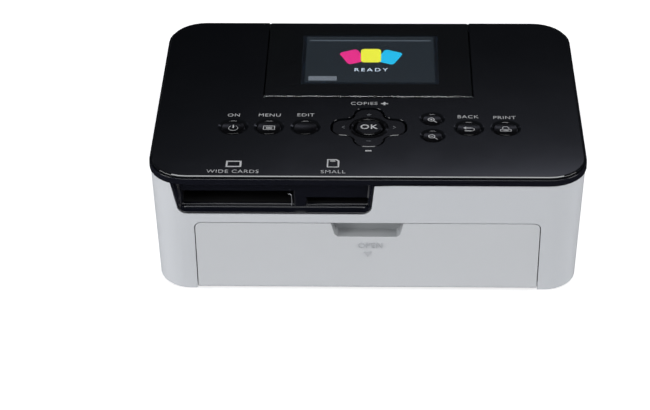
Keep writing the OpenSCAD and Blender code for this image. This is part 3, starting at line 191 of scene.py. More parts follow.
def eased_copy(node, name, radius, segments=2, sharp=32, flat=False):
    """The node's own form as a merged mesh, with a small radius in millimetres at its sharp edges.

    An edge is sharp when its faces turn by more than the given angle in degrees. A flat copy has
    no smoothed face, which keeps the mirror image on a polished plate straight.
    """
    weld = 0.001 * MM
    level_angle = radians(0.5)
    beside_angle = radians(20)
    face_weight = 80
    bm = bmesh.new()
    bm.from_mesh(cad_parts[node].data)
    bmesh.ops.remove_doubles(bm, verts=bm.verts, dist=weld)
    bmesh.ops.dissolve_limit(bm, angle_limit=level_angle, verts=bm.verts, edges=bm.edges)
    bmesh.ops.connect_verts_concave(bm, faces=bm.faces)
    weight = bm.edges.layers.float.new("bevel_weight_edge")
    for edge in bm.edges:
        edge[weight] = edge.is_manifold and edge.calc_face_angle() > radians(sharp)
    # Where two such edges leave a corner almost side by side, only the longer one is eased
    for corner in bm.verts:
        arms = [(edge.calc_length(), edge.other_vert(corner).co - corner.co, edge)
                for edge in corner.link_edges if edge[weight]]
        arms.sort(key=lambda arm: -arm[0])
        for i, (_, along, _) in enumerate(arms):
            for _, beside, edge in arms[i + 1:]:
                if along.angle(beside) < beside_angle:
                    edge[weight] = 0
    for face in bm.faces:
        face.smooth = not flat
    mesh = bpy.data.meshes.new(name)
    bm.to_mesh(mesh)
    bm.free()
    spares = ["custom_normal", "sharp_edge"] + ([] if flat else ["sharp_face"])
    for spare in spares:
        if spare in mesh.attributes:
            mesh.attributes.remove(mesh.attributes[spare])
    piece = linked(name, mesh)
    ease = piece.modifiers.new("eased_edges", "BEVEL")
    ease.limit_method = "WEIGHT"
    ease.width = radius * MM
    ease.segments = segments
    ease.use_clamp_overlap = False
    ease.miter_outer = "MITER_ARC"
    ease.face_strength_mode = "FSTR_ALL"
    if not flat:
        flats = piece.modifiers.new("even_flats", "WEIGHTED_NORMAL")
        flats.mode = "FACE_AREA"
        flats.weight = face_weight
        flats.use_face_influence = True
    return piece


def fitted(piece, material, body, slot, *nodes):
    """Gives a piece its finish, its body and the CAD nodes that it stands for."""
    piece.data.materials.clear()
    piece.data.materials.append(material)
    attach(piece, body)
    if nodes:
        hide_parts(*nodes)
    return piece


white_satin = moulded("white_satin", (0.635, 0.655, 0.685), 0.42, grain=2600, depth=0.012,
                      tone=0.02, Specular_IOR_Level=0.45)
fitted(eased_copy("body_shell", "case_shell", 0.15), white_satin, "case", "white_case",
       "body_shell")

# The paper door and the ink door are separate mouldings of the same plastic, which comes out of
# its own tool a touch less bright. Each turns on pins that are moulded at its edge. The faces in
# the finger scoop at the top of the paper door get a darker grey, painted shade for its hollow.
door_satin = moulded("door_satin", (0.63, 0.647, 0.67), 0.44, grain=2600, depth=0.012, tone=0.02,
                     Specular_IOR_Level=0.45)
scoop_painted_shade = moulded("scoop_painted_shade", (0.42, 0.435, 0.45), 0.5, grain=2600, depth=0.012, tone=0.03)
door_low, door_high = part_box("paper_door")
front_lean = radians(3.157)
scoop_low, scoop_high, scoop_side, scoop_depth = 30 * MM, 36 * MM, 15 * MM, 0.3 * MM
door_leaf = fitted(eased_copy("paper_door", "paper_door_leaf", 0.12), door_satin, "paper_door",
                   "white_door", "paper_door")
door_leaf.data.materials.append(scoop_painted_shade)
# Faces inside the scoop take the second, darker material: painted shade where the scoop lies in
# shadow.
for face in door_leaf.data.polygons:
    x, y, z = face.center
    depth = (y - door_low.y) * cos(front_lean) + (z - door_high.z) * sin(front_lean)
    in_shaded_scoop = scoop_low < z < scoop_high and abs(x) < scoop_side and depth > scoop_depth
    faces_out = face.normal.y < 0.3 and face.normal.z > -0.5
    if in_shaded_scoop and faces_out:
        face.material_index = 1
fitted(eased_copy("ink_door", "ink_door_leaf", 0.3), door_satin, "ink_door", "white_door",
       "ink_door")

# The base tray is a dark moulding with a coarser grain. Four soft rubber feet are pressed into it,
# and four zinc-plated screws hold it to the case.
base_grey = moulded("base_grey", (0.13, 0.13, 0.14), 0.55, grain=1500, depth=0.02)
foot_rubber = moulded("foot_rubber", (0.035, 0.035, 0.037), 0.75, grain=2400, depth=0.03,
                      sheen=0.15)


def brushed_group():
    """Streaks drawn along X, as a brush, a rolling mill or a lathe leaves them."""
    tree, start, end = shader_group("brushed_streaks", [
        ("Color", "NodeSocketColor", (0.5, 0.5, 0.52, 1)),
        ("Roughness", "NodeSocketFloat", 0.3),
        ("Streaks per metre", "NodeSocketFloat", 2500.0),
        ("Tarnish", "NodeSocketFloat", 0.1),
    ], SKIN_OUTPUTS)
    link = tree.links.new
    place = node_in(tree, "ShaderNodeTexCoord")
    drawn = node_in(tree, "ShaderNodeMapping")
    drawn.inputs["Scale"].default_value = (0.02, 1, 1)
    link(place.outputs["Object"], drawn.inputs["Vector"])
    streaks = node_in(tree, "ShaderNodeTexNoise")
    streaks.inputs["Detail"].default_value = 2
    link(drawn.outputs[0], streaks.inputs["Vector"])
    link(start.outputs["Streaks per metre"], streaks.inputs["Scale"])
    link(streaks.outputs["Fac"], end.inputs["Height"])
    rough = node_in(tree, "ShaderNodeMath", operation="MULTIPLY_ADD")
    rough.inputs[1].default_value = 0.14
    link(streaks.outputs["Fac"], rough.inputs[0])
    link(start.outputs["Roughness"], rough.inputs[2])
    link(rough.outputs[0], end.inputs["Roughness"])
    cloud = node_in(tree, "ShaderNodeTexNoise")
    cloud.inputs["Scale"].default_value = 90
    cloud.inputs["Detail"].default_value = 3
    link(place.outputs["Object"], cloud.inputs["Vector"])
    shade = node_in(tree, "ShaderNodeMath", operation="MULTIPLY")
    link(cloud.outputs["Fac"], shade.inputs[0])
    link(start.outputs["Tarnish"], shade.inputs[1])
    keep = node_in(tree, "ShaderNodeMath", operation="SUBTRACT")
    keep.inputs[0].default_value = 1.0
    link(shade.outputs[0], keep.inputs[1])
    tinted = node_in(tree, "ShaderNodeVectorMath", operation="SCALE")
    link(start.outputs["Color"], tinted.inputs[0])
    link(keep.outputs[0], tinted.inputs["Scale"])
    link(tinted.outputs[0], end.inputs["Color"])
    return tree


BRUSHED = brushed_group()


def metal(name, color, roughness, streaks=2500.0, tarnish=0.15, depth=0.004, **shader):
    """Sheet, turned or drawn metal with its fine streaks."""
    settings = {"Color": (*color, 1), "Roughness": roughness, "Streaks per metre": streaks,
                "Tarnish": tarnish}
    return finish(name, BRUSHED, settings, depth, Metallic=1.0, **shader)


zinc_screw = metal("zinc_screw", (0.55, 0.56, 0.58), 0.3)
base_pieces = (
    ("base_tray", "base_tray_moulding", 0.25, 2, base_grey, "base_plastic"),
    ("rubber_feet", "feet_rubber", 0.2, 2, foot_rubber, "foot_rubber"),
    ("base_screws", "base_screw_set", 0.06, 1, zinc_screw, "screw_steel"),
)
for node, name, radius, segments, material, slot in base_pieces:
    fitted(eased_copy(node, name, radius, segments), material, "case", slot, node)

# The rim and the card bezel are one black moulding, polished in the tool. Dust and touch marks
# change its sheen a little from place to place.


def touched_gloss_group():
    """Polished plastic: touch marks change the sheen, and rare specks of dust lift the tone."""
    tree, start, end = shader_group("touched_gloss", [
        ("Color", "NodeSocketColor", (0.01, 0.01, 0.012, 1)),
        ("Roughness", "NodeSocketFloat", 0.08),
        ("Marks", "NodeSocketFloat", 0.05),
        ("Dust", "NodeSocketFloat", 0.5),
    ], SKIN_OUTPUTS)
    link = tree.links.new
    place = node_in(tree, "ShaderNodeTexCoord")
    marks = node_in(tree, "ShaderNodeTexNoise")
    marks.inputs["Scale"].default_value = 45
    marks.inputs["Detail"].default_value = 4
    marks.inputs["Roughness"].default_value = 0.65
    link(place.outputs["Object"], marks.inputs["Vector"])
    spread = node_in(tree, "ShaderNodeMapRange")
    spread.inputs["From Min"].default_value = 0.42
    spread.inputs["From Max"].default_value = 0.75
    link(marks.outputs["Fac"], spread.inputs["Value"])
    rough = node_in(tree, "ShaderNodeMath", operation="MULTIPLY_ADD")
    link(spread.outputs["Result"], rough.inputs[0])
    link(start.outputs["Marks"], rough.inputs[1])
    link(start.outputs["Roughness"], rough.inputs[2])
    specks = node_in(tree, "ShaderNodeTexVoronoi")
    specks.inputs["Scale"].default_value = 420
    link(place.outputs["Object"], specks.inputs["Vector"])
    speck = node_in(tree, "ShaderNodeMapRange")
    speck.inputs["From Min"].default_value = 0.055
    speck.inputs["From Max"].default_value = 0.035
    link(specks.outputs["Distance"], speck.inputs["Value"])
    dust = node_in(tree, "ShaderNodeMath", operation="MULTIPLY")
    link(speck.outputs["Result"], dust.inputs[0])
    link(start.outputs["Dust"], dust.inputs[1])
    lifted = node_in(tree, "ShaderNodeMix", data_type="RGBA")
    lifted.inputs["B"].default_value = (0.10, 0.10, 0.11, 1)
    link(dust.outputs[0], lifted.inputs["Factor"])
    link(start.outputs["Color"], lifted.inputs["A"])
    link(lifted.outputs["Result"], end.inputs["Color"])
    dull = node_in(tree, "ShaderNodeMath", operation="MULTIPLY_ADD")
    dull.inputs[1].default_value = 0.3
    link(dust.outputs[0], dull.inputs[0])
    link(rough.outputs[0], dull.inputs[2])
    link(dull.outputs[0], end.inputs["Roughness"])
    link(marks.outputs["Fac"], end.inputs["Height"])
    return tree


TOUCHED_GLOSS = touched_gloss_group()


def polished(name, color, roughness, marks=0.05, dust=0.4, depth=0.0, **shader):
    """Plastic with a polished face."""
    settings = {"Color": (*color, 1), "Roughness": roughness, "Marks": marks, "Dust": dust}
    return finish(name, TOUCHED_GLOSS, settings, depth, **shader)


rim_black = polished("rim_black", (0.0060, 0.0066, 0.0115), 0.16, marks=0.05, dust=0.12)
fitted(eased_copy("top_case", "rim_and_bezel", 0.3, 3), rim_black, "case", "black_rim",
       "top_case")

# A small bright guide of steel wire stands in the right-hand end of the wide card slot. Its upper
# end turns in over the slot.
guide_r = 0.16
guide_y = -60.9
guide_points = ((-31.9, 50.6), (-31.2, 50.55), (-30.75, 50.2), (-30.6, 49.6), (-30.55, 47.5),
                (-30.6, 45.2))


def mesh_of(source):
    """The final mesh of a text or curve object, which leaves the scene again."""
    bpy.context.view_layer.update()
    graph = bpy.context.evaluated_depsgraph_get()
    mesh = bpy.data.meshes.new_from_object(source.evaluated_get(graph))
    bpy.data.objects.remove(source)
    return mesh


guide_curve = bpy.data.curves.new("slot_guide", "CURVE")
guide_curve.dimensions = "3D"
guide_curve.bevel_depth = guide_r * MM
guide_curve.use_fill_caps = True
guide_line = guide_curve.splines.new("POLY")
guide_line.points.add(len(guide_points) - 1)
for point, (x, z) in zip(guide_line.points, guide_points):
    point.co = (x * MM, guide_y * MM, z * MM, 1)
slot_guide = linked("slot_guide", mesh_of(linked("slot_guide_source", guide_curve)))
guide_steel = metal("guide_steel", (0.62, 0.63, 0.66), 0.45)
fitted(slot_guide, guide_steel, "case", "black_rim")

# The key panel is a piano-black plate let into the rim. Its edge is cut at a bright chamfer, and
# each key sits in its own dish. The words on it are screen-printed in pale grey.
piano_black = polished("piano_black", (0.0046, 0.0053, 0.0068), 0.07, marks=0.04, dust=0.10,
                       Coat_Weight=0.3, Coat_Roughness=0.04)
fitted(eased_copy("top_panel", "key_panel", 0.12, sharp=20, flat=True), piano_black, "case",
       "gloss_black", "top_panel")
panel_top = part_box("top_panel")[1].z
ink_t = 0.03 * MM

printed_grey = moulded("printed_grey", (0.72, 0.73, 0.75), 0.5, grain=4000, depth=0.004, tone=0.1)


def laid_flat(name, curve, thickness):
    """The form of a text or curve, pressed to a thin layer whose lower face is at z = 0."""
    mesh = mesh_of(linked(name, curve))
    mesh.name = name
    heights = [v.co.z for v in mesh.vertices]
    low = min(heights)
    scale = thickness / max(max(heights) - low, 1e-9)
    for v in mesh.vertices:
        v.co.z = (v.co.z - low) * scale
    return linked(name, mesh)


def word(name, text, height, spread=1.1, bold=-0.012, thickness=ink_t):
    """A word centred on the origin, with capitals of the given height in millimetres."""
    capital_share = 0.7
    curve = bpy.data.curves.new(name, "FONT")
    curve.body = text
    curve.size = height / capital_share * MM
    curve.space_character = spread
    curve.align_x = "CENTER"
    curve.align_y = "CENTER"
    curve.offset = bold * height * MM
    curve.extrude = 0.1 * MM
    curve.resolution_u = 4
    return laid_flat(name, curve, thickness)


def strokes(name, lines, width, thickness=ink_t):
    """Printed strokes of one width. A line is its points in millimetres, with True to close it."""
    curve = bpy.data.curves.new(name, "CURVE")
    curve.dimensions = "3D"
    curve.bevel_depth = width / 2 * MM
    curve.bevel_resolution = 2
    curve.use_fill_caps = True
    for points, closed in lines:
        spline = curve.splines.new("POLY")
        spline.points.add(len(points) - 1)
        for point, (x, y) in zip(spline.points, points):
            point.co = (x * MM, y * MM, 0, 1)
        spline.use_cyclic_u = closed
    return laid_flat(name, curve, thickness)


def arc(cx, cy, r, start, end, steps=14):
    """Points along an arc, its angles in degrees."""
    angles = [radians(start + (end - start) * i / steps) for i in range(steps + 1)]
    return [(cx + r * cos(angle), cy + r * sin(angle)) for angle in angles]


def printed_at(piece, x, y, z, material, body, slot):
    """Lays a printed piece down at x and y in millimetres, its lower face at z in metres."""
    piece.data.transform(Matrix.Translation((x * MM, y * MM, z)))
    return fitted(piece, material, body, slot)


label_h = 2.3
panel_words = {
    "label_on": ("ON", -56.2, -16.6),
    "label_menu": ("MENU", -41.2, -16.5),
    "label_edit": ("EDIT", -26.1, -16.3),
    "label_copies": ("COPIES", -1.7, -6.9),
    "label_back": ("BACK", 41.7, -17.3),
    "label_print": ("PRINT", 56.9, -17.8),
    "label_wide_slot": ("WIDE CARDS", -54.2, -59.4),
    "label_small_slot": ("SMALL", -13.8, -59.4),
}
for name, (text, x, y) in panel_words.items():
    label = word(name, text, label_h)
    printed_at(label, x, y, panel_top, printed_grey, "case", "gloss_black")

wide_card = [(-2.8, -1.9), (2.8, -1.9), (2.8, 1.9), (-2.8, 1.9)]
small_card = [(-2.2, -2.7), (2.2, -2.7), (2.2, 1.7), (1.2, 2.7), (-2.2, 2.7)]
panel_signs = {
    "sign_more": ([([(-1.5, 0), (1.5, 0)], False), ([(0, -1.2), (0, 1.2)], False)],
                  0.75, 6.9, -6.9),
    "sign_fewer": ([([(-1.3, 0), (1.3, 0)], False)], 0.9, 0.3, -43.6),
    "sign_wide_card": ([(wide_card, True)], 1.05, -54.1, -53.8),
    "sign_small_card": ([(small_card, True), ([(-1.2, 1.7), (0.9, 1.7)], False)],
                        0.8, -13.9, -53.1),
}
for name, (lines, width, x, y) in panel_signs.items():
    sign = strokes(name, lines, width)
    printed_at(sign, x, y, panel_top, printed_grey, "case", "gloss_black")

# The word and the arrow on the paper door are raised in the moulding, a hair proud of its face.
# Their tops get a darker grey than the door, painted shade that makes the raised marks read.
raised_t = 0.3
mark_painted_shade = moulded("mark_painted_shade", (0.51, 0.525, 0.55), 0.5, grain=2600, depth=0.012, tone=0.02)


def sheet(name, outline, height, thick=0.03):
    """A flat layer of the given outline and thickness in millimetres, on a height in metres."""
    bm = bmesh.new()
    face = bm.faces.new([bm.verts.new((x * MM, y * MM, height)) for x, y in outline])
    raised = bmesh.ops.extrude_face_region(bm, geom=[face])
    top = [v for v in raised["geom"] if isinstance(v, bmesh.types.BMVert)]
    bmesh.ops.translate(bm, verts=top, vec=(0, 0, thick * MM))
    bmesh.ops.recalc_face_normals(bm, faces=bm.faces)
    mesh = bpy.data.meshes.new(name)
    bm.to_mesh(mesh)
    bm.free()
    return linked(name, mesh)


def on_door(piece, x, z):
    """Stands a flat piece up on the leaning face of the paper door, at x and z in millimetres."""
    face_y = door_low.y + (door_high.z - z * MM) * tan(front_lean)
    stand = Matrix.Rotation(pi / 2 + front_lean, 4, "X")
    piece.data.transform(Matrix.Translation((x * MM, face_y, z * MM)) @ stand)
    return fitted(piece, mark_painted_shade, "paper_door", "white_door")


on_door(word("door_word", "OPEN", 2.6, 1.1, 0.01, raised_t * MM), 1.2, 25.6)
arrow = ((-1.5, 1.3), (0, -1.3), (1.5, 1.3))
on_door(sheet("door_arrow", arrow, 0, raised_t), 0.2, 21.1)

# The keys are double-dished black caps with their signs printed on top. They stand in their holes
# with a quarter of a millimetre of air, and each rides on its own dome of the mat.
key_black = polished("key_black", (0.0035, 0.0035, 0.0042), 0.14, marks=0.05, dust=0.06,
                     Specular_IOR_Level=0.45)
key_ink = moulded("key_ink", (0.75, 0.76, 0.78), 0.45, grain=4000, depth=0.004, tone=0.1)
dish_radius = 40.0
key_flange = 0.9


def dish_rise(r):
    """How far a key's dish has risen above its middle at a radius in millimetres, in metres."""
    return (dish_radius - sqrt(dish_radius ** 2 - r ** 2)) * MM


lens = [(arc(-0.4, 0.4, 1.25, 0, 340, 18), True), ([(0.6, -0.6), (1.9, -1.9)], False),
        ([(-1.0, 0.4), (0.2, 0.4)], False)]
back_hook = [(-1.9, -1.3)] + arc(1.1, -0.2, 1.1, -90, 90, 10) + [(-1.9, 0.9)]
key_signs = {
    "power_key": ([(arc(0, -0.2, 1.9, 125, 415, 22), False), ([(0, -0.1), (0, 2.3)], False)], 0.5),
    "menu_key": ([([(-2.3, -1.4), (2.3, -1.4), (2.3, 1.4), (-2.3, 1.4)], True),
                  ([(-1.3, 0.45), (1.3, 0.45)], False),
                  ([(-1.3, -0.45), (1.3, -0.45)], False)], 0.42),
    "edit_key": ([], 0),
    "zoom_in_key": (lens + [([(-0.4, -0.2), (-0.4, 1.0)], False)], 0.36),
    "zoom_out_key": (lens, 0.36),
    "back_key": ([(back_hook, False), ([(-1.1, 1.8), (-2.1, 0.9), (-1.1, 0.0)], False)], 0.5),
    "print_key": ([([(-2.2, -0.2), (-2.2, -1.6), (2.2, -1.6), (2.2, -0.2)], True),
                   ([(-1.3, 0.3), (-1.0, 1.9), (0.6, 1.9), (1.3, 1.2), (1.3, 0.3)], False),
                   ([(-1.2, -0.9), (1.2, -0.9)], False)], 0.42),
}
for node, (lines, width) in key_signs.items():
    low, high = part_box(node)
    cx, cy = (low.x + high.x) / 2, (low.y + high.y) / 2
    dish_floor = high.z - dish_rise((high.x - low.x) / 2 / MM - key_flange)
    cap = eased_copy(node, node + "_cap", 0.1, 1, flat=True)
    fitted(cap, key_black, node, "key_black", node)
    if lines:
        sign = strokes(node + "_sign", lines, width)
        for v in sign.data.vertices:
            v.co.z += dish_rise(sqrt(v.co.x ** 2 + v.co.y ** 2) / MM)
        sign.data.transform(Matrix.Translation((cx, cy, dish_floor)))
        fitted(sign, key_ink, node, "key_black")

# The middle key and the plus-shaped pad round it are moulded in the same black. The pad has a
# raised ring, which the thumb finds, and four printed marks for its directions.
fitted(eased_copy("ok_key", "ok_key_cap", 0.22, 1, flat=True), key_black, "ok_key", "key_black",
       "ok_key")
fitted(eased_copy("nav_pad", "direction_pad", 0.36, 1, flat=True), key_black, "nav_pad",
       "key_black", "nav_pad")
ok_low, ok_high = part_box("ok_key")
ok_x, ok_y = (ok_low.x + ok_high.x) / 2 / MM, (ok_low.y + ok_high.y) / 2 / MM
ok_sign = word("ok_sign", "OK", 3.3, 1.12, 0.02)
printed_at(ok_sign, ok_x, ok_y, ok_high.z, key_ink, "ok_key", "key_black")
pad_ring_h = 0.4
pad_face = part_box("nav_pad")[1].z - pad_ring_h * MM
pad_marks = {
    "pad_left": ([([(0.6, 0.9), (-0.5, 0), (0.6, -0.9)], False)], -10.7, 0.4),
    "pad_right": ([([(-0.6, 0.9), (0.5, 0), (-0.6, -0.9)], False)], 10.7, 0.4),
    "pad_down": ([([(-0.9, 0), (0.9, 0)], False)], 0.0, -10.2),
    "pad_up": ([([(-0.9, 0), (0.9, 0)], False), ([(0, -0.9), (0, 0.9)], False)], 0.0, 10.2),
}
pad_ink = moulded("pad_ink", (0.20, 0.21, 0.23), 0.5, grain=4000, depth=0.004, tone=0.1)
for name, (lines, dx, dy) in pad_marks.items():
    mark = strokes(name, lines, 0.36)
    printed_at(mark, ok_x + dx, ok_y + dy, pad_face, pad_ink, "nav_pad", "key_black")

# The screen tilts up on two pins. Under its smoked window lie a printed mask and the picture
# module, and the lit picture shows a plain picture sign of three colours with a word.
screen_blue_black = polished("screen_blue_black", (0.012, 0.015, 0.021), 0.14, marks=0.05, dust=0.1)
fitted(eased_copy("screen_frame", "screen_housing", 0.2), screen_blue_black, "screen",
       "screen_black", "screen_frame")
smoked = polished("smoked_window", (0.40, 0.455, 0.52), 0.03, marks=0.03, dust=0.2,
                  Transmission_Weight=0.984, IOR=1.49, Specular_IOR_Level=0.3)
fitted(eased_copy("screen_window", "screen_window_pane", 0.25, 1, flat=True), smoked, "screen",
       "screen_glass", "screen_window")

# The picture is laminated to the back of the window and drawn as thin lit layers: the dark ground,
# two glowing lines along its upper edge that are painted highlights of the module's frame, three
# fanned sheets in printing colours, a word and a grey bar.
lcd_x, lcd_y = 0.6, 30.5
picture_inset = 0.12
lcd_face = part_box("screen_window")[0].z - picture_inset * MM


def lit_layer_group():
    """A lit picture layer: the fine stripes of its picture points, and a slow change of level."""
    tree, start, end = shader_group("lit_layer", [
        ("Color", "NodeSocketColor", (0.1, 0.1, 0.1, 1)),
        ("Level", "NodeSocketFloat", 1.0),
    ], SKIN_OUTPUTS[:2])
    link = tree.links.new
    place = node_in(tree, "ShaderNodeTexCoord")
    stripes = node_in(tree, "ShaderNodeTexWave", bands_direction="X")
    stripes.inputs["Scale"].default_value = 1200
    link(place.outputs["Object"], stripes.inputs["Vector"])
    cloud = node_in(tree, "ShaderNodeTexNoise")
    cloud.inputs["Scale"].default_value = 30
    link(place.outputs["Object"], cloud.inputs["Vector"])
    fine = node_in(tree, "ShaderNodeMath", operation="MULTIPLY_ADD")
    fine.inputs[1].default_value = 0.12
    fine.inputs[2].default_value = 0.86
    link(stripes.outputs["Fac"], fine.inputs[0])
    slow = node_in(tree, "ShaderNodeMath", operation="MULTIPLY_ADD")
    slow.inputs[1].default_value = 0.15
    link(cloud.outputs["Fac"], slow.inputs[0])
    link(fine.outputs[0], slow.inputs[2])
    level = node_in(tree, "ShaderNodeMath", operation="MULTIPLY")
    link(slow.outputs[0], level.inputs[0])
    link(start.outputs["Level"], level.inputs[1])
    tinted = node_in(tree, "ShaderNodeVectorMath", operation="SCALE")
    link(start.outputs["Color"], tinted.inputs[0])
    link(level.outputs[0], tinted.inputs["Scale"])
    link(tinted.outputs[0], end.inputs["Color"])
    rough = node_in(tree, "ShaderNodeMath", operation="MULTIPLY_ADD")
    rough.inputs[1].default_value = 0.1
    rough.inputs[2].default_value = 0.3
    link(cloud.outputs["Fac"], rough.inputs[0])
    link(rough.outputs[0], end.inputs["Roughness"])
    return tree


LIT_LAYER = lit_layer_group()


def lit(name, color, level):
    """A picture colour that glows by itself."""
    settings = {"Color": (*color, 1), "Level": level}
    material = finish(name, LIT_LAYER, settings, Emission_Strength=1.0)
    tree = material.node_tree
    shader = tree.nodes["Principled BSDF"]
    group = next(n for n in tree.nodes if n.type == "GROUP")
    tree.links.new(group.outputs["Color"], shader.inputs["Emission Color"])
    return material


def rounded_box(cx, cy, w, h, r, tilt=0.0, steps=5):
    """Outline of a rectangle with round corners, turned about its middle by an angle in degrees."""
    points = []
    for k, (sx, sy) in enumerate(((1, 1), (-1, 1), (-1, -1), (1, -1))):
        for i in range(steps + 1):
            a = radians(90 * k + 90 * i / steps)
            points.append((sx * (w / 2 - r) + r * cos(a), sy * (h / 2 - r) + r * sin(a)))
    c, s = cos(radians(tilt)), sin(radians(tilt))
    return [(cx + x * c - y * s, cy + x * s + y * c) for x, y in points]


layer_level, word_level = 2.2, 2.6
picture_layers = {
    "picture_ground": ((0, 0.2, 56.3, 39.4, 0.4), 0.01, (0.0165, 0.0195, 0.0215)),
    # The next two lines glow as painted highlights along the upper edge of the picture module.
    "picture_painted_highlight_top": ((0, 16.6, 53.5, 0.8, 0.3), 0.03, (0.115, 0.122, 0.129)),
    "picture_painted_highlight_edge": ((0, 19.3, 55.5, 0.5, 0.2), 0.03, (0.036, 0.038, 0.040)),
    "picture_bar": ((-20.4, -16.1, 12.2, 3.6, 0.5), 0.03, (0.188, 0.188, 0.190)),
    "sheet_magenta": ((-7.6, 2.4, 8.6, 11.0, 1.6, 24), 0.03, (0.85, 0.03, 0.22)),
    "sheet_cyan": ((8.4, 2.2, 8.6, 11.0, 1.6, -24), 0.03, (0.02, 0.50, 0.70)),
    "sheet_yellow": ((0.4, 3.4, 8.8, 11.6, 1.6), 0.05, (0.92, 0.82, 0.05)),
}
for name, ((dx, dy, *form), rise, color) in picture_layers.items():
    layer = sheet(name, rounded_box(lcd_x + dx, lcd_y + dy, *form), lcd_face + rise * MM)
    fitted(layer, lit(name, color, layer_level), "screen", "lcd")
picture_word = word("picture_word", "READY", 2.7, 1.35)
picture_white = lit("picture_white", (0.75, 0.77, 0.8), word_level)
printed_at(picture_word, lcd_x + 0.4, lcd_y - 8.9, lcd_face + 0.04 * MM, picture_white, "screen",
           "lcd")

# A bluish black mask is printed round the picture and hides the edge of the module. Its colour is
# lifted above that of the real print, painted light for the light that the window keeps from it.
# It fills the pocket of the window, and the picture sits a little above the middle of that pocket.
mask_print_with_painted_light = moulded("mask_print_with_painted_light", (0.050, 0.075, 0.110), 0.3, grain=4000, depth=0.004, tone=0.06)
pocket_x, pocket_y = 59.3 / 2, 41.8 / 2
picture_x, picture_y = 56.1 / 2, 39.2 / 2
picture_up = 0.2
side_x, side_w = (pocket_x + picture_x) / 2, pocket_x - picture_x
end_y, end_h = (pocket_y + picture_y) / 2, pocket_y - picture_y
mask_sides = {
    "mask_left": (-side_x, 0, side_w, 2 * pocket_y),
    "mask_right": (side_x, 0, side_w, 2 * pocket_y),
    "mask_front": (0, picture_up - end_y, 2 * picture_x, end_h),
    "mask_rear": (0, picture_up / 2 + end_y, 2 * picture_x, end_h - picture_up),
}
for name, (dx, dy, w, h) in mask_sides.items():
    outline = rounded_box(lcd_x + dx, lcd_y + dy, w, h, 0.05, steps=1)
    fitted(sheet(name, outline, lcd_face + 0.05 * MM), mask_print_with_painted_light, "screen", "screen_black")

# A small grey catch stands on the case, in the gap before the front edge of the screen. It stays
# there when the screen tilts up.
catch_grey = moulded("catch_grey", (0.045, 0.048, 0.052), 0.5, grain=3000)
catch_foot, catch_h = 59.9, 0.45
catch_outline = rounded_box(15.6, -1.52, 4.2, 0.5, 0.1, steps=2)
catch = sheet("screen_catch", catch_outline, catch_foot * MM, catch_h)
fitted(catch, catch_grey, "case", "gloss_black")

# Everything else keeps the CAD node's own form, with the finish of the real material: steel pins
# and shafts, acetal gears, rubber rollers, green boards, a smoked cassette and its dye film.


def dressed(material, *nodes):
    """Gives the nodes' own meshes this material."""
    for node in nodes:
        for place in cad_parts[node].material_slots:
            place.link = "OBJECT"
            place.material = material


dressed(moulded("lcd_bezel", (0.05, 0.055, 0.07), 0.35), "lcd_module")
dressed(metal("pin_steel", (0.60, 0.61, 0.63), 0.2), "screen_hinge_pins", "head_pins",
        "idler_studs", "pickup_shaft", "platen_shaft", "grip_roller")
dressed(moulded("pad_silicone", (0.05, 0.05, 0.05), 0.7), "nav_ring")
dressed(moulded("mat_silicone", (0.45, 0.47, 0.50), 0.5), "key_mat")
dressed(moulded("solder_mask", (0.02, 0.14, 0.06), 0.3), "key_board", "main_board")
dressed(moulded("grey_acetal", (0.16, 0.17, 0.18), 0.45), "eject_lever", "paper_guide")
dressed(moulded("socket_nylon", (0.02, 0.02, 0.02), 0.4), "power_socket")
dressed(metal("tinned_steel", (0.55, 0.56, 0.58), 0.3), "data_socket")
dressed(moulded("card_cage", (0.006, 0.006, 0.007), 0.6, Specular_IOR_Level=0.2),
        "wide_card_socket", "small_card_socket")
dressed(metal("chassis_zinc", (0.50, 0.52, 0.54), 0.38), "chassis_left", "chassis_right",
        "head_arm")
dressed(metal("sintered_bronze", (0.60, 0.42, 0.18), 0.45), "shaft_bushes")
dressed(moulded("roller_rubber", (0.06, 0.06, 0.06), 0.7), "pickup_roller", "platen_roller")
dressed(moulded("pinch_acetal", (0.12, 0.12, 0.13), 0.4), "pinch_roller")
dressed(moulded("gear_acetal", (0.78, 0.76, 0.68), 0.4), "pickup_gear", "grip_gear", "front_idler",
        "rear_idler", "ribbon_gear")
dressed(metal("pinion_brass", (0.75, 0.58, 0.22), 0.25), "motor_pinion")
dressed(metal("motor_can", (0.52, 0.53, 0.55), 0.35), "feed_motor")
dressed(moulded("head_ceramic", (0.80, 0.78, 0.72), 0.25), "thermal_head")
dressed(metal("sink_aluminium", (0.62, 0.63, 0.65), 0.35), "heat_sink")
dressed(moulded("cassette_smoke", (0.30, 0.32, 0.35), 0.35), "ink_cassette")
dressed(moulded("dye_film", (0.55, 0.10, 0.30), 0.2), "supply_spool", "takeup_spool", "ink_ribbon")
dressed(moulded("fan_black", (0.03, 0.03, 0.03), 0.45), "fan_housing", "fan_rotor")

# The studio: a white floor, one broad soft light in front of and above the printer, a soft light at
# each side, and behind it a card whose steep fade gives the key panel its long soft reflection.


def studio_plane(name, size, segments=1, stretch=(1, 1, 1), lean=0, at=(0, 0, 0)):
    """A flat grid, leaned about X by an angle in degrees and moved to its place in metres."""
    bm = bmesh.new()
    bmesh.ops.create_grid(bm, x_segments=segments, y_segments=segments, size=size)
    bmesh.ops.scale(bm, verts=bm.verts, vec=stretch)
    bmesh.ops.rotate(bm, verts=bm.verts, matrix=Matrix.Rotation(radians(lean), 3, "X"))
    bmesh.ops.translate(bm, verts=bm.verts, vec=at)
    mesh = bpy.data.meshes.new(name)
    bm.to_mesh(mesh)
    bm.free()
    return linked(name, mesh)


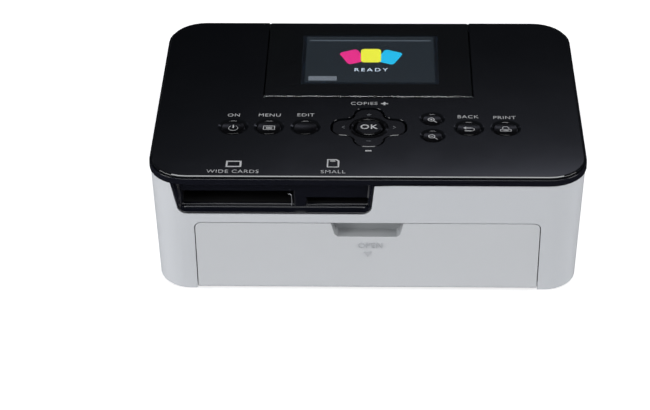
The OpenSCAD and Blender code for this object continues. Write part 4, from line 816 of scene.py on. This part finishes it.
floor_glow, floor_bounce = 0.68, 0.16
floor = studio_plane("floor", 8, segments=2)
pale = bpy.data.materials.new("pale_floor")
pale.use_nodes = True
pale_tree = pale.node_tree
link = pale_tree.links.new
pale_shader = pale_tree.nodes["Principled BSDF"]
pale_shader.inputs["Roughness"].default_value = 0.8
pale_shader.inputs["Specular IOR Level"].default_value = 0.0
pale_shader.inputs["Emission Color"].default_value = (1, 1, 1, 1)
ray = node_in(pale_tree, "ShaderNodeLightPath")
reflected = node_in(pale_tree, "ShaderNodeMix", data_type="RGBA")
reflected.inputs["A"].default_value = (0.86, 0.86, 0.87, 1)
reflected.inputs["B"].default_value = (0.05, 0.05, 0.055, 1)
link(ray.outputs["Is Glossy Ray"], reflected.inputs["Factor"])
link(reflected.outputs["Result"], pale_shader.inputs["Base Color"])
bounce = node_in(pale_tree, "ShaderNodeMath", operation="MULTIPLY")
bounce.inputs[1].default_value = floor_bounce
link(ray.outputs["Is Diffuse Ray"], bounce.inputs[0])
lift = node_in(pale_tree, "ShaderNodeMath", operation="MULTIPLY_ADD")
lift.inputs[1].default_value = floor_glow
link(ray.outputs["Is Camera Ray"], lift.inputs[0])
link(bounce.outputs[0], lift.inputs[2])
link(lift.outputs[0], pale_shader.inputs["Emission Strength"])
floor.data.materials.append(pale)


def only_mirrored(plane):
    """Hides a studio piece from everything but reflections."""
    plane.visible_camera = False
    plane.visible_diffuse = False
    plane.visible_transmission = False
    plane.visible_shadow = False


card = studio_plane("reflector_card", 1.3, lean=90, at=(0, 1.6, 1.31))
faded = bpy.data.materials.new("faded_card")
faded.use_nodes = True
faded_tree = faded.node_tree
link = faded_tree.links.new
faded_tree.nodes.remove(faded_tree.nodes["Principled BSDF"])
glow = node_in(faded_tree, "ShaderNodeEmission")
link(glow.outputs[0], faded_tree.nodes["Material Output"].inputs["Surface"])
spot = node_in(faded_tree, "ShaderNodeTexCoord")
leaned = node_in(faded_tree, "ShaderNodeVectorMath", operation="DOT_PRODUCT")
leaned.inputs[1].default_value = (0.07, 0, 1)
link(spot.outputs["Object"], leaned.inputs[0])
span = node_in(faded_tree, "ShaderNodeMapRange")
span.inputs["From Min"].default_value = 0.90
span.inputs["From Max"].default_value = 1.50
link(leaned.outputs["Value"], span.inputs["Value"])
fade = node_in(faded_tree, "ShaderNodeValToRGB")
fade.color_ramp.interpolation = "EASE"
card_blue = (0.93, 0.97, 1.18)
stops = ((0.0, 0.012), (0.11, 0.018), (0.21, 0.044), (0.31, 0.095), (0.40, 0.135), (0.43, 0.19),
         (0.47, 0.72), (0.60, 0.85), (0.80, 0.05))
ramp = fade.color_ramp.elements
while len(ramp) < len(stops):
    ramp.new(0.5)
for element, (at, value) in zip(ramp, stops):
    element.position = at
    element.color = (*(value * share for share in card_blue), 1)
link(span.outputs["Result"], fade.inputs["Fac"])
link(fade.outputs["Color"], glow.inputs["Color"])
parts = node_in(faded_tree, "ShaderNodeSeparateXYZ")
link(spot.outputs["Object"], parts.inputs[0])
side_fade = node_in(faded_tree, "ShaderNodeMapRange", interpolation_type="SMOOTHSTEP")
side_fade.inputs["From Min"].default_value = -0.36
side_fade.inputs["From Max"].default_value = 0.08
side_fade.inputs["To Min"].default_value = 0.36
link(parts.outputs["X"], side_fade.inputs["Value"])
link(side_fade.outputs["Result"], glow.inputs["Strength"])
card.data.materials.append(faded)
only_mirrored(card)

# A narrow strip light hangs above the front light. It shows only in polished edges, as a thin
# line of light along the front of the screen, the keys and the pad.
strip_power = 8
strip = studio_plane("edge_strip", 1, stretch=(0.85, 0.17, 1), lean=-145, at=(0, -0.75, 1.07))
strip_light = bpy.data.materials.new("strip_light")
strip_light.use_nodes = True
strip_shader = strip_light.node_tree.nodes["Principled BSDF"]
strip_shader.inputs["Base Color"].default_value = (0, 0, 0, 1)
strip_shader.inputs["Emission Color"].default_value = (0.96, 0.98, 1, 1)
strip_shader.inputs["Emission Strength"].default_value = strip_power
strip.data.materials.append(strip_light)
only_mirrored(strip)


def soft_light(name, place, size, power, aim=(0, 0, 0.03)):
    """A rectangular area light at a place in metres, turned to the printer."""
    lamp = bpy.data.lights.new(name, "AREA")
    lamp.shape = "RECTANGLE"
    lamp.size, lamp.size_y = size
    lamp.energy = power
    holder = linked(name, lamp)
    holder.location = place
    holder.rotation_euler = (Vector(place) - Vector(aim)).to_track_quat("Z", "Y").to_euler()


soft_light("front_top_softbox", (0.25, -0.95, 1.35), (1.0, 0.7), 4)
soft_light("left_softbox", (-1.25, -0.62, 0.50), (0.7, 0.7), 12)
soft_light("right_softbox", (1.35, -0.45, 0.50), (0.7, 0.7), 9.5)

# The room round the studio is pale. The camera sees it white, and matt and polished faces get only
# a little of its light.
room_on_matt, room_on_gloss = 0.17, 0.03
world = bpy.data.worlds.new("studio")
bpy.context.scene.world = world
world.use_nodes = True
air = world.node_tree
link = air.links.new
sky = air.nodes["Background"]
sky.inputs["Color"].default_value = (0.97, 0.98, 1.0, 1)
paths = node_in(air, "ShaderNodeLightPath")
level = node_in(air, "ShaderNodeMix")
level.inputs["A"].default_value = room_on_matt
level.inputs["B"].default_value = room_on_gloss
link(paths.outputs["Is Glossy Ray"], level.inputs["Factor"])
seen = node_in(air, "ShaderNodeMath", operation="MAXIMUM")
link(level.outputs["Result"], seen.inputs[0])
link(paths.outputs["Is Camera Ray"], seen.inputs[1])
link(seen.outputs[0], sky.inputs["Strength"])
bpy.context.scene.view_settings.view_transform = "Standard"
